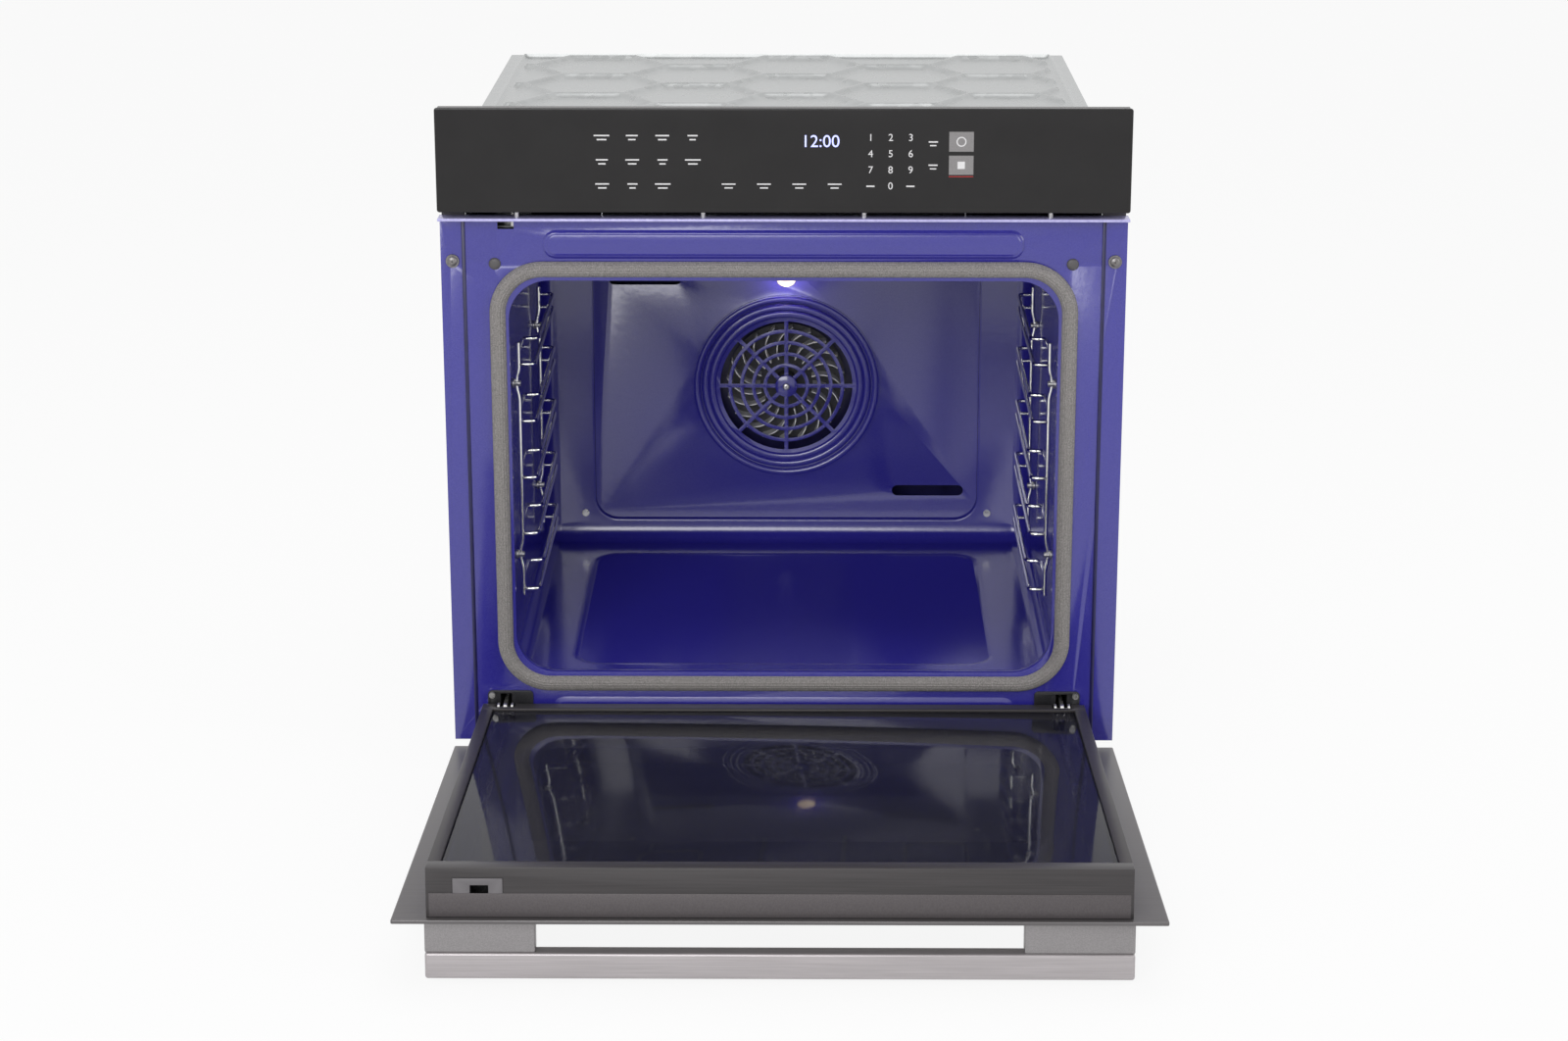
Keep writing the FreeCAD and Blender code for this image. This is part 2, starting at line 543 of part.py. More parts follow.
def lamp_and_probe():
    """Oven lamp in the rear wall and the temperature probe above it."""
    behind = "baffle_face + baffle_dish"

    def barrel(label, start, end, radius):
        return rod(label, "Y", ("0", start, "lamp_height"), radius, f"({end}) - ({start})")

    socket = barrel("lamp_holder", "lamp_seat", "wool_back", "lamp_radius - liner_wall - play")
    bulb = barrel("lamp_bulb", behind + " + 5", "lamp_seat", "lamp_radius / 2")
    node(group("oven_lamp", socket, bulb))
    node(barrel("lamp_lens", behind + " - 3", behind + " + 4", "lamp_radius"))
    node(rod("temperature_probe", "Y", ("probe_place", "460", "probe_height"), "probe_radius",
             "wool_back - 460"))


def bladed_wheel(label, axis, start, radius, deep, blades):
    """A back disc with a bored hub and straight blades standing round it."""
    along = "XYZ".index(axis)
    back = list(start)
    back[along] = f"{start[along]} + {deep} - blade"
    solid = [rod(label + "_disc", axis, back, radius, "blade"),
             rod(label + "_hub", axis, start, "hub_radius", deep)]
    for count in range(blades):
        blade = doc.addObject("Part::Box", f"{label}_blade_{count}")
        spin = FreeCAD.Rotation(FreeCAD.Vector(0, 0, 1), count * 360 / blades)
        blade.Placement = FreeCAD.Placement(FreeCAD.Vector(), TURNS[axis] * spin)
        angle = count * 360 / blades
        reach = (f"blade_root * cos({angle})", f"blade_root * sin({angle})")
        bind(blade, Length=f"{radius} - blade_root", Width="blade", Height=f"{deep} - blade / 2")
        shift = ("0", "0", "0")
        if axis == "Y":
            shift = (reach[0], "0", f"-{reach[1]}")
        if axis == "Z":
            shift = (reach[0], reach[1], "0")
        place(blade, *(f"{a} + {b}" for a, b in zip(start, shift)))
        solid.append(blade)
    bore = list(start)
    bore[along] = f"{start[along]} - 1"
    hole = rod(label + "_bore", axis, bore, "shaft_radius", f"{deep} + 2")
    return cut(label + "_turned", fuse(label + "_whole", *solid), hole)


def convection_drive():
    """Rear convection fan on its shaft, with the motor behind the cavity."""
    front = ("0", "fan_back - fan_deep", "fan_height")
    wheel = bladed_wheel("fan_wheel", "Y", front, "fan_radius", "fan_deep", 12)
    shaft = rod("fan_shaft", "Y", front, "shaft_radius", "wool_back - fan_back + fan_deep")
    node(group("convection_fan", wheel, shaft))
    start = "cavity_depth + liner_wall + play"
    body = rod("fan_motor_body", "Y", ("0", start, "fan_height"), "fan_motor_radius", "fan_motor_deep")
    bore = rod("fan_motor_bore", "Y", ("0", f"{start} - 1", "fan_height"), "shaft_radius + running",
               "fan_motor_deep + 2")
    node(cut("fan_motor", body, bore))


def cooling_blower():
    """Cooling blower on the deck, its motor on top and the duct to the vent under the panel."""
    place_y = "blower_place"
    low = "(deck_low + sheet)"
    shell = box("blower_shell", half("blower_width"),
                (f"{place_y} - blower_width / 2", f"{place_y} + blower_width / 2"), (low, "blower_high"))
    hollow = rod("blower_hollow", "Z", ("0", place_y, f"{low} + blower_wall"), "blower_hollow",
                 f"blower_high - {low} - blower_wall * 2")
    mouth = box("blower_mouth", half("blower_hollow * 2"), (f"{place_y} - blower_width / 2 - 1", place_y),
                ("duct_low + sheet", "duct_high - sheet"))
    inlet = rod("blower_inlet", "Z", ("0", place_y, "blower_high - blower_wall - 1"),
                "shaft_radius + play", "blower_wall + 2")
    side = rod("blower_side_inlet", "Y", ("0", f"{place_y} + blower_hollow - 10", "604"),
               "blower_wall * 12", "40")
    node(cut("blower_housing", shell, hollow, mouth, inlet, side))
    start = ("0", place_y, "blower_low + 3")
    wheel = bladed_wheel("blower_rotor", "Z", start, "wheel_radius", "wheel_tall", 24)
    shaft = rod("blower_shaft", "Z", start, "shaft_radius",
                "blower_high + blower_motor_tall - blower_low - 8")
    node(group("blower_wheel", wheel, shaft))
    motor = rod("blower_motor_body", "Z", ("0", place_y, "blower_high"), "blower_motor_radius",
                "blower_motor_tall")
    bore = rod("blower_motor_bore", "Z", ("0", place_y, "blower_high - 1"), "shaft_radius + running",
               "blower_motor_tall + 2")
    node(cut("blower_motor", motor, bore))
    duct_y = ("play", f"{place_y} - blower_width / 2")
    duct = box("duct_outer", half("duct_width"), duct_y, ("duct_low", "duct_high"))
    air = box("duct_inner", half("duct_width - sheet * 2"), ("-sheet", place_y),
              ("duct_low + sheet", "duct_high - sheet"))
    node(cut("air_duct", duct, air))


def control_panel():
    """Glass touch panel with its housing, touch film, display and board, over the vent strip."""
    tall = ("panel_low", "panel_high")
    glass_back = "panel_face + panel_glass"
    node(plate("control_glass", half("frame_width"), tall, ("panel_face", glass_back), "3"))
    shell = box("housing_shell", half("frame_width - 4"), (glass_back, "panel_back"),
                ("panel_low + 1.5", "panel_high - 1.5"))
    room = box("housing_room", half("frame_width - 8"), (f"{glass_back} - 1", "panel_back - 1.5"),
               ("panel_low + 3.5", "panel_high - 3.5"))
    node(cut("control_housing", shell, room))
    screen = (("display_left", "display_right"), ("display_low", "display_high"))
    node(box("display_module", screen[0], (glass_back, f"{glass_back} + 4"), screen[1]))
    film = box("film_sheet", ("-235", "185"), (glass_back, f"{glass_back} + 0.8"), ("618", "708"))
    gap = box("film_gap", ("display_left - play", "display_right + play"),
              (f"{glass_back} - 1", f"{glass_back} + 2"), ("display_low - play", "display_high + play"))
    board = box("board_sheet", ("-180", "150"), (f"{glass_back} + 4", f"{glass_back} + 5.6"),
                ("630", "706"))
    node(group("control_board", cut("touch_film", film, gap), board))
    node(box("vent_strip", half("frame_width"), ("panel_face", "0"), ("strip_low", "strip_high")))
    pegs = [rod(f"vent_peg_{side}_{name}", "Z", (f"{sign} * peg_{name}", "panel_face / 2", "strip_high"),
                "peg_radius", "panel_low + 1.5 - strip_high")
            for side, sign in SIDES for name in ("inner", "outer")]
    node(group("vent_pegs", *pegs))


def latch():
    """Motorised door latch on the deck: base, slide, hook on its pin, cam and motor."""
    floor = ("latch_deck - latch_wall", "latch_deck")
    wide = ("latch_left", "latch_right")
    base = [box("latch_floor", wide, ("latch_front", "latch_back"), floor),
            box("latch_foot_left", ("latch_left", "latch_left + latch_wall"),
                ("latch_front", "latch_back"), ("deck_low + sheet", "latch_deck")),
            box("latch_foot_right", ("latch_right - latch_wall", "latch_right"),
                ("latch_front", "latch_back"), ("deck_low + sheet", "latch_deck")),
            box("latch_rear", wide, ("latch_back - latch_wall", "latch_back"),
                ("latch_deck - latch_wall", "latch_motor_high"))]
    node(fuse("latch_base", *base))
    low = "latch_deck + play"
    bar = box("slide_bar", ("slide_left", "hook_right"), ("slide_front", "slide_back"),
              (low, f"{low} + slide_tall"))
    ear = box("slide_ear", ("hook_left - play - 4", "hook_left - play"),
              ("latch_pin_place - 6", "latch_pin_place + 6"),
              (low, "latch_pin_height + hook_eye"))
    pin = rod("slide_pin", "X", ("hook_left - 2", "latch_pin_place", "latch_pin_height"),
              "latch_pin_radius", "hook_right - hook_left + 3")
    node(fuse("latch_slide", bar, ear, pin))
    thin = ("hook_left", "hook_right")
    arm = box("hook_arm", thin, ("hook_tip_front", "latch_pin_place"), ("hook_low", "hook_high"))
    tip = box("hook_tip", thin, ("hook_tip_front", "hook_tip_back"), ("hook_tip_low", "hook_high"))
    eye = rod("hook_eye_disc", "X", ("hook_left", "latch_pin_place", "latch_pin_height"), "hook_eye",
              "hook_right - hook_left")
    bore = rod("hook_bore", "X", ("hook_left - 1", "latch_pin_place", "latch_pin_height"),
               "latch_pin_radius + running", "hook_right - hook_left + 2")
    node(cut("latch_hook", fuse("hook_whole", arm, tip, eye), bore))
    cam = rod("cam_disc", "Z", ("cam_place", "cam_depth", "cam_low"), "cam_radius", "slide_tall")
    shaft = rod("cam_stem", "Z", ("cam_place", "cam_depth", "cam_low"), "cam_shaft", "15")
    node(fuse("latch_cam", cam, shaft))
    motor = box("latch_motor_body", wide, ("cam_depth - 20", "latch_back - latch_wall"),
                ("latch_motor_low", "latch_motor_high"))
    hole = rod("latch_motor_bore", "Z", ("cam_place", "cam_depth", "latch_motor_low - 1"),
               "cam_shaft + running", "15")
    node(cut("latch_motor", motor, hole))


def screw(label, axis_x, height, seat, shank, head, reach):
    """A screw driven along +Y, its head standing in front of the seat."""
    return fuse(label, rod(label + "_head", "Y", (axis_x, f"{seat} - head_thick", height), head,
                           "head_thick"),
                rod(label + "_shank", "Y", (axis_x, f"{seat} - head_thick / 2", height), shank,
                    f"({reach}) - ({seat}) + head_thick / 2"))


def ring_washer(label, axis, start, outer, inner, thick):
    """A flat ring, its hole cut right through."""
    disc = rod(label + "_disc", axis, start, outer, thick)
    along = "XYZ".index(axis)
    before = list(start)
    before[along] = f"{start[along]} - 1"
    return cut(label, disc, rod(label + "_hole", axis, before, inner, f"{thick} + 2"))


def fixings():
    """Cabinet screws and washers, hole plugs and the rear baffle's screws and standoffs."""
    cabinet = []
    washers = []
    plugs = []
    baffle = []
    posts = []
    for side, sign in SIDES:
        x = f"{sign} * fixing_spacing / 2"
        cabinet.append(screw("cabinet_screw_" + side, x, "fixing_height", "-sheet * 2",
                             "fixing_shank", "fixing_head", "fixing_reach"))
        washers.append(ring_washer("washer_" + side, "Y", (x, "-sheet * 2", "fixing_height"),
                                   "washer_radius", "fixing_hole", "sheet"))
        x = f"{sign} * plug_place"
        plugs.append(fuse("plug_" + side,
                          rod(f"plug_{side}_cap", "Y", (x, "-sheet * 2.5", "plug_height"),
                              "plug_radius", "sheet * 1.5"),
                          rod(f"plug_{side}_neck", "Y", (x, "-sheet * 1.5", "plug_height"),
                              "plug_neck - running", "sheet * 4")))
        for level in ("low", "high"):
            x = f"{sign} * baffle_screw_place"
            z = "baffle_screw_" + level
            baffle.append(screw(f"baffle_screw_{side}_{level}", x, z, "baffle_face", "screw_shank",
                                "screw_head", "baffle_face + 20"))
            posts.append(ring_washer(f"baffle_post_{side}_{level}", "Y",
                                     (x, "baffle_face + sheet", z), "screw_head",
                                     "screw_shank + running", "cavity_depth - baffle_face - sheet"))
    node(group("cabinet_screws", *cabinet, *washers))
    node(group("frame_plugs", *plugs))
    node(group("baffle_fixings", *baffle, *posts))


def supply_box():
    """Terminal box inside the rear cover, with its terminal block."""
    outer = box("terminal_shell", ("terminal_place - 40", "terminal_place + 40"),
                ("520", "chassis_depth - sheet"), ("terminal_height - 30", "terminal_height + 30"))
    room = box("terminal_room", ("terminal_place - 38", "terminal_place + 38"),
               ("522", "chassis_depth"), ("terminal_height - 28", "terminal_height + 28"))
    block = box("terminal_block", ("terminal_place - 30", "terminal_place + 30"), ("522", "540"),
                ("terminal_height - 12", "terminal_height + 12"))
    node(group("terminal_box", cut("terminal_case", outer, room), block))


def hinges():
    """Each side's bracket with its receiver, arm, bail and screws on the frame."""
    screws = []
    brackets = []
    arms = []
    for side, sign in SIDES:
        out = partial(span, sign)
        face = plate("bracket_face_" + side, out("bracket_inner", "bracket_outer"),
                     ("bracket_low", "bracket_high"), ("-sheet - bracket_thick", "-sheet"), "5")
        wide = out("hinge_place - channel_width / 2 + play", "hinge_place + channel_width / 2 - play")
        room = out("hinge_place - channel_width / 2 + cheek", "hinge_place + channel_width / 2 - cheek")
        sleeve = box("receiver_shell_" + side, wide, ("-sheet", "60"),
                     ("hinge_low + play", "hinge_high - play"))
        hollow = box("receiver_room_" + side, room, ("-10", "58"), ("hinge_low + cheek", "hinge_high - cheek"))
        holes = []
        for name in ("upper", "lower"):
            x = f"{sign} * hinge_screw_{name}"
            z = f"hinge_screw_{name}_height"
            holes.append(rod(f"bracket_hole_{side}_{name}", "Y", (x, "-10", z),
                             "screw_shank + running", "20"))
            screws.append(screw(f"hinge_screw_{side}_{name}", x, z, "-sheet - bracket_thick",
                                "screw_shank", "screw_head - 1", "6"))
        bracket = fuse("bracket_whole_" + side, face, sleeve)
        brackets.append(cut("hinge_bracket_" + side, bracket, hollow, *holes))
        thick = out("hinge_place - arm_thick / 2", "hinge_place + arm_thick / 2")
        arm = fuse("arm_whole_" + side,
                   box("arm_bar_" + side, thick, ("hinge_back", "52"),
                       ("12", "hinge_height + eye_radius - 0.1")),
                   box("arm_tail_" + side, thick, ("20", "52"),
                       ("hinge_low + cheek + play", "hinge_high - cheek - play")),
                   rod("arm_eye_" + side, "X", (thick[0], "hinge_back", "hinge_height"), "eye_radius",
                       "arm_thick"))
        low_front = box("arm_relief_" + side, out("hinge_place - arm_thick", "hinge_place + arm_thick"),
                        ("hinge_back - eye_radius", "-9"), ("0", "hinge_height - eye_radius + 0.1"))
        start = span(sign, "hinge_place - 5", "hinge_place + 5")[0]
        pin_bore = rod("arm_bore_" + side, "X", (start, "hinge_back", "hinge_height"),
                       "pin_radius + running", "10")
        bail_bore = rod("arm_bail_bore_" + side, "X", (start, "bail_back", "bail_height"),
                        "bail_pin + running", "10")
        arms.append(cut("hinge_arm_" + side, arm, low_front, pin_bore, bail_bore))
        legs = []
        for name, near, far in (("inner", "-5", "-3"), ("outer", "3", "5")):
            leg = out(f"hinge_place + {near}", f"hinge_place + {far}")
            legs.append(box(f"bail_leg_{side}_{name}", leg, ("bail_back - 13", "bail_back"),
                            ("bail_height - 1.5", "bail_height + 1.5")))
            legs.append(rod(f"bail_eye_{side}_{name}", "X", (leg[0], "bail_back", "bail_height"), "3", "2"))
        wide = out("hinge_place - 5", "hinge_place + 5")
        legs.append(box("bail_bar_" + side, wide, ("bail_back - 13", "bail_back - 10.5"),
                        ("bail_height - 1.5", "bail_height + 1.5")))
        legs.append(rod("bail_pin_" + side, "X", (wide[0], "bail_back", "bail_height"), "bail_pin", "10"))
        node(fuse("hinge_bail_" + side, *legs))
    node(group("hinge_brackets", *brackets))
    node(group("hinge_arms", *arms))
    node(group("hinge_screws", *screws))


def door_shell():
    """Outer skin with its window, the rails and trims behind it and the strike for the latch."""
    inner = "door_face + skin"
    lip = ("door_back - trim_lip", "door_back")
    window = (half("window_width"), ("window_low", "window_high"), "window_corner")
    hang("door_skin", plate("skin_plate", half("frame_width"), ("door_low", "door_high"),
                            ("door_face", inner), "2", [window]))
    hang("door_window", plate("window_pane", half("window_width + window_lap * 2"),
                              ("window_low - window_lap", "window_high + window_lap"),
                              (inner, f"{inner} + pane"), "window_corner"))
    rails = []
    for side, sign in SIDES:
        wall = box("rail_wall_" + side, span(sign, "body_width / 2 - trim_wall", "body_width / 2"),
                   (inner, "door_back - trim_lip"), ("body_low + trim_wall", "body_high - trim_wall"))
        edge = box("rail_lip_" + side, span(sign, "body_width / 2 - rail_wide", "body_width / 2"),
                   lip, ("body_low + trim_low_lip", "body_high - trim_high_lip"))
        rails.append(fuse("rail_" + side, wall, edge))
    hang("side_rails", *rails)
    wide = half("body_width")
    top = fuse("top_trim_whole",
               box("top_trim_roof", wide, (inner, "door_back"), ("body_high - trim_wall", "body_high")),
               box("top_trim_lip", wide, lip, ("body_high - trim_high_lip", "body_high")))
    seat = box("strike_seat", ("strike_left - play", "strike_right + play"),
               ("strike_front - play", "strike_back + play"),
               ("body_high - trim_wall - 1", "body_high + 1"))
    hang("top_trim", cut("top_trim_cut", top, seat))
    plain = box("strike_sheet", ("strike_left", "strike_right"), ("strike_front", "strike_back"),
                ("body_high - trim_wall", "body_high"))
    hole = box("strike_gap", ("strike_hole_left", "strike_hole_right"),
               ("strike_hole_front", "strike_hole_back"), ("body_high - trim_wall - 1", "body_high + 1"))
    hang("strike_plate", cut("strike_cut", plain, hole))
    foot = fuse("foot_whole",
                box("foot_floor", wide, (inner, "door_back"), ("body_low", "body_low + trim_wall")),
                box("foot_lip", wide, lip, ("body_low", "body_low + trim_low_lip")))
    notches = [box("foot_notch_" + side,
                   span(sign, "hinge_place - channel_width / 2 - 2", "hinge_place + channel_width / 2 + 2"),
                   ("inner_notch", "door_back + 1"), ("body_low - 1", "hinge_height + eye_radius + 1"))
               for side, sign in SIDES]
    hang("bottom_trim", cut("foot_cut", foot, *notches))


def door_core():
    """Glass panes and wool inside the door."""
    inner = "door_face + skin"
    lip = "door_back - trim_lip"
    hang("inner_glass", plate("inner_pane", half("body_width - trim_wall * 2 - 8"),
                              ("body_low + trim_low_lip - 7", "body_high - trim_high_lip + 10"),
                              (f"{lip} - pane", lip), "3"))
    room = (half("window_width + window_lap * 2 + 20"),
            ("window_low - window_lap - 10", "window_high + window_lap + 10"))
    hang("door_wool", plate("wool_ring", half("wool_ring_width"), ("wool_ring_low", "wool_ring_high"),
                            (f"{inner} + play", f"{lip} - pane - play"), "10",
                            [(*room, "window_corner")]))
    hang("middle_glass", plate("middle_pane", half("window_width + window_lap * 2 + 20 - play * 2"),
                               ("window_low - window_lap - 10 + play",
                                "window_high + window_lap + 10 - play"),
                               ("middle_face", "middle_face + pane"), "window_corner"))


def door_handle():
    """Square bar handle on two broad posts."""
    low = "handle_low"
    back = "door_face - post_long"
    posts = [box("post_" + side, span(sign, "handle_width / 2 - post_width", "handle_width / 2"),
                 (back, "door_face"), (f"{low} + 1.5", f"{low} + handle_tall - 1.5"))
             for side, sign in SIDES]
    hang("handle_posts", *posts)
    hang("handle_bar", box("bar_block", half("handle_width"), (f"{back} - bar_thick", back),
                           (low, f"{low} + handle_tall")))


def door_hinge_parts():
    """Hinge channels in the door, the pins in their eyes, and the springs with their rods."""
    inner = "door_face + skin"
    front = "inner_glass_front"
    channels = []
    pins = []
    springs = []
    rods = []
    for side, sign in SIDES:
        edge = "channel_width / 2"
        high = ("body_low", "channel_high")
        low_x = span(sign, f"hinge_place - {edge}", f"hinge_place + {edge}")
        parts = [box("channel_back_" + side, low_x, (inner, f"{inner} + 2"),
                     ("body_low + trim_wall + 1", high[1]))]
        for name, near, far in (("inner", f"-{edge}", f"-{edge} + cheek"),
                                ("outer", f"{edge} - cheek", edge)):
            wall = span(sign, f"hinge_place + {near}", f"hinge_place + {far}")
            parts.append(box(f"cheek_{side}_{name}", wall, (inner, front),
                             ("body_low + trim_wall + 1", high[1])))
            parts.append(rod(f"cheek_eye_{side}_{name}", "X", (wall[0], "hinge_back", "hinge_height"),
                             "eye_radius", "cheek"))
        bore = rod("channel_bore_" + side, "X", (f"{low_x[0]} - 1", "hinge_back", "hinge_height"),
                   "pin_radius", "channel_width + 2")
        channels.append(cut("channel_" + side, fuse("channel_whole_" + side, *parts), bore))
        pins.append(rod("pin_" + side, "X", (low_x[0], "hinge_back", "hinge_height"), "pin_radius",
                        "channel_width"))
        middle = (f"{sign} * hinge_place", f"{inner} + 2 + spring_radius + play")
        springs.append(ring_washer("spring_" + side, "Z", (*middle, "spring_low"), "spring_radius",
                                   "spring_rod_radius + play", "spring_high - spring_low"))
        rods.append(rod("spring_rod_" + side, "Z", (*middle, "spring_rod_low"), "spring_rod_radius",
                        "spring_rod_high - spring_rod_low"))
    hang("hinge_channels", *channels)
    hang("hinge_pins", *pins)
    hang("hinge_springs", *springs)
    hang("spring_rods", *rods)


def write_parts():
    """Check every object and sub-part, then write each sub-part to its STEP file."""
    doc.recompute()
    failed = [item.Name for item in doc.Objects if {"Invalid", "Error"} & set(item.State)]
    if failed:
        raise RuntimeError("objects that failed: " + ", ".join(failed))
    for name, item in NODES.items():
        if item.Shape.isNull() or not item.Shape.isValid() or not item.Shape.Solids:
            raise RuntimeError("bad shape: " + name)
    os.makedirs("parts", exist_ok=True)
    for name, item in NODES.items():
        item.Shape.exportStep(os.path.join("parts", name + ".step"))
    print(len(NODES), "sub-parts written")


for build in (front_frame, oven_liner, fan_cover, chassis, insulation, door_gasket, rack_guides,
              heaters, lamp_and_probe, convection_drive, cooling_blower, control_panel, latch,
              fixings, supply_box, hinges, door_shell, door_core, door_handle, door_hinge_parts):
    build()
write_parts()
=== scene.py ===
"""Looks of a built-in wall oven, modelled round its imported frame.

Sizes are written in millimetres in the frame's own axes, +X right, +Y into the cabinet and +Z
up, and MM turns them into metres. Only the studio's places are in metres. The oven stands with
its door lowered. The door's ledge is drawn upright, as on the shut door, and then lowered.
"""
from __future__ import annotations

import json
import logging
import math
from dataclasses import dataclass
from enum import Enum
from typing import Sequence

import bmesh
import bpy
from mathutils import Matrix, Vector

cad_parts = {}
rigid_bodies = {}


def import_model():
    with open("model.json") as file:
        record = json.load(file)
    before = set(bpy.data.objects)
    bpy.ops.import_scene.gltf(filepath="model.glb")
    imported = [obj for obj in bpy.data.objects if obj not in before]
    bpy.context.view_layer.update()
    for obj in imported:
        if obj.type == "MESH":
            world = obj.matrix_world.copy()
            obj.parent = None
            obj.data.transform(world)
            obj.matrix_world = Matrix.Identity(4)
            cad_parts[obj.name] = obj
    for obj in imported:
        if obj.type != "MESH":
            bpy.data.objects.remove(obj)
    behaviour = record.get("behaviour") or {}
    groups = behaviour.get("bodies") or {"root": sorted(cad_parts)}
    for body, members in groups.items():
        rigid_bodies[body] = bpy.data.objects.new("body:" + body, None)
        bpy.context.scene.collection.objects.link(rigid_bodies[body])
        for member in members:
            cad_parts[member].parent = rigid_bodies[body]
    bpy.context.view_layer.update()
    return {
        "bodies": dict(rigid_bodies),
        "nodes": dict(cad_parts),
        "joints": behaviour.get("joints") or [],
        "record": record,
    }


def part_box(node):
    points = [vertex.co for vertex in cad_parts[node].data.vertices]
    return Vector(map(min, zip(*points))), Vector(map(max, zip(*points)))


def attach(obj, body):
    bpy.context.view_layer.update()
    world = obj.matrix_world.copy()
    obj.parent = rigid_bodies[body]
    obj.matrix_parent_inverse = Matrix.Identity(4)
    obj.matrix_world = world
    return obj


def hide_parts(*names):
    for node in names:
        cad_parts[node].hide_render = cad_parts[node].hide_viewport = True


MM = 0.001
LOG = logging.getLogger("wall_oven")
SIDES = (("left", -1), ("right", 1))
DEPTH = Vector((0, 1, 0))
COAT_ROUGHNESS = 0.05
SPECK_FINENESS = 30.0
GLOSS_SPREAD = (0.8, 1.25)
BRUSH_STRETCH = 0.015
WELD = 0.01
Limits = tuple[float, float]
Profile = tuple[tuple[float, float], ...]


class Grain(Enum):
    """How a finish breaks up its surface."""

    NONE = "none"
    PEEL = "peel"
    BRUSHED = "brushed"
    SPANGLE = "spangle"
    CAST = "cast"
    BRAID = "braid"
    WOOL = "wool"


@dataclass(frozen=True)
class Finish:
    """A surface finish and the procedural material that shows it."""

    name: str
    colour: tuple[float, float, float]
    second: tuple[float, float, float]
    roughness: float
    metallic: float = 0.0
    ior: float = 1.5
    coat: float = 0.0
    grain: Grain = Grain.CAST
    scale: float = 400.0
    depth: float = 0.02
    spread: float = 0.4
    glow: float = 0.0
    alpha: float = 1.0
    along: int = 0

    def material(self) -> bpy.types.Material:
        """Make the material once, then reuse it.

        Returns:
            The Blender material with this finish's name.
        """
        found = bpy.data.materials.get(self.name)
        if found:
            return found
        made = bpy.data.materials.new(self.name)
        made.use_nodes = True
        shader = made.node_tree.nodes["Principled BSDF"]
        shader.inputs["Roughness"].default_value = self.roughness
        shader.inputs["Metallic"].default_value = self.metallic
        shader.inputs["IOR"].default_value = self.ior
        shader.inputs["Coat Weight"].default_value = self.coat
        shader.inputs["Coat Roughness"].default_value = COAT_ROUGHNESS
        shader.inputs["Base Color"].default_value = (*self.colour, 1.0)
        if self.alpha < 1.0:
            shader.inputs["Alpha"].default_value = self.alpha
        if self.glow:
            shader.inputs["Emission Color"].default_value = (*self.colour, 1.0)
            shader.inputs["Emission Strength"].default_value = self.glow
        if self.grain is not Grain.NONE:
            self.texture(made.node_tree, shader)
        return made

    def texture(self, tree: bpy.types.NodeTree, shader: bpy.types.Node) -> None:
        """Add the grain's colour, gloss and bump.

        Args:
            tree: The material's node tree.
            shader: The principled shader that the grain feeds.
        """
        link = tree.links.new
        place = tree.nodes.new("ShaderNodeTexCoord")
        mapping = tree.nodes.new("ShaderNodeMapping")
        link(place.outputs["Object"], mapping.inputs["Vector"])
        mapping.inputs["Scale"].default_value = self.stretch()
        if self.grain is Grain.SPANGLE:
            texture = tree.nodes.new("ShaderNodeTexVoronoi")
            value = texture.outputs["Color"]
        else:
            texture = tree.nodes.new("ShaderNodeTexNoise")
            texture.inputs["Detail"].default_value = 2.0 if self.grain is Grain.PEEL else 6.0
            value = texture.outputs["Fac"]
        texture.inputs["Scale"].default_value = self.scale
        link(mapping.outputs["Vector"], texture.inputs["Vector"])
        bump = tree.nodes.new("ShaderNodeBump")
        bump.inputs["Strength"].default_value = 1.0
        bump.inputs["Distance"].default_value = self.depth * MM
        link(value, bump.inputs["Height"])
        link(bump.outputs["Normal"], shader.inputs["Normal"])
        fleck = value
        if self.grain is Grain.PEEL:
            speck = tree.nodes.new("ShaderNodeTexNoise")
            speck.inputs["Scale"].default_value = self.scale * SPECK_FINENESS
            speck.inputs["Detail"].default_value = 1.0
            link(place.outputs["Object"], speck.inputs["Vector"])
            fleck = speck.outputs["Fac"]
            link(bump.outputs["Normal"], shader.inputs["Coat Normal"])
        ramp = tree.nodes.new("ShaderNodeValToRGB")
        ramp.color_ramp.elements[0].position = 0.5 - self.spread / 2
        ramp.color_ramp.elements[1].position = 0.5 + self.spread / 2
        ramp.color_ramp.elements[0].color = (*self.colour, 1.0)
        ramp.color_ramp.elements[1].color = (*self.second, 1.0)
        link(fleck, ramp.inputs["Fac"])
        link(ramp.outputs["Color"], shader.inputs["Base Color"])
        gloss = tree.nodes.new("ShaderNodeMapRange")
        gloss.inputs["To Min"].default_value = self.roughness * GLOSS_SPREAD[0]
        gloss.inputs["To Max"].default_value = min(1.0, self.roughness * GLOSS_SPREAD[1])
        link(fleck, gloss.inputs["Value"])
        link(gloss.outputs["Result"], shader.inputs["Roughness"])

    def stretch(self) -> tuple[float, float, float]:
        """Scale of the pattern along each axis: brushed metal is drawn out along one."""
        if self.grain is not Grain.BRUSHED:
            return (1.0, 1.0, 1.0)
        return tuple(BRUSH_STRETCH if axis == self.along else 1.0 for axis in range(3))


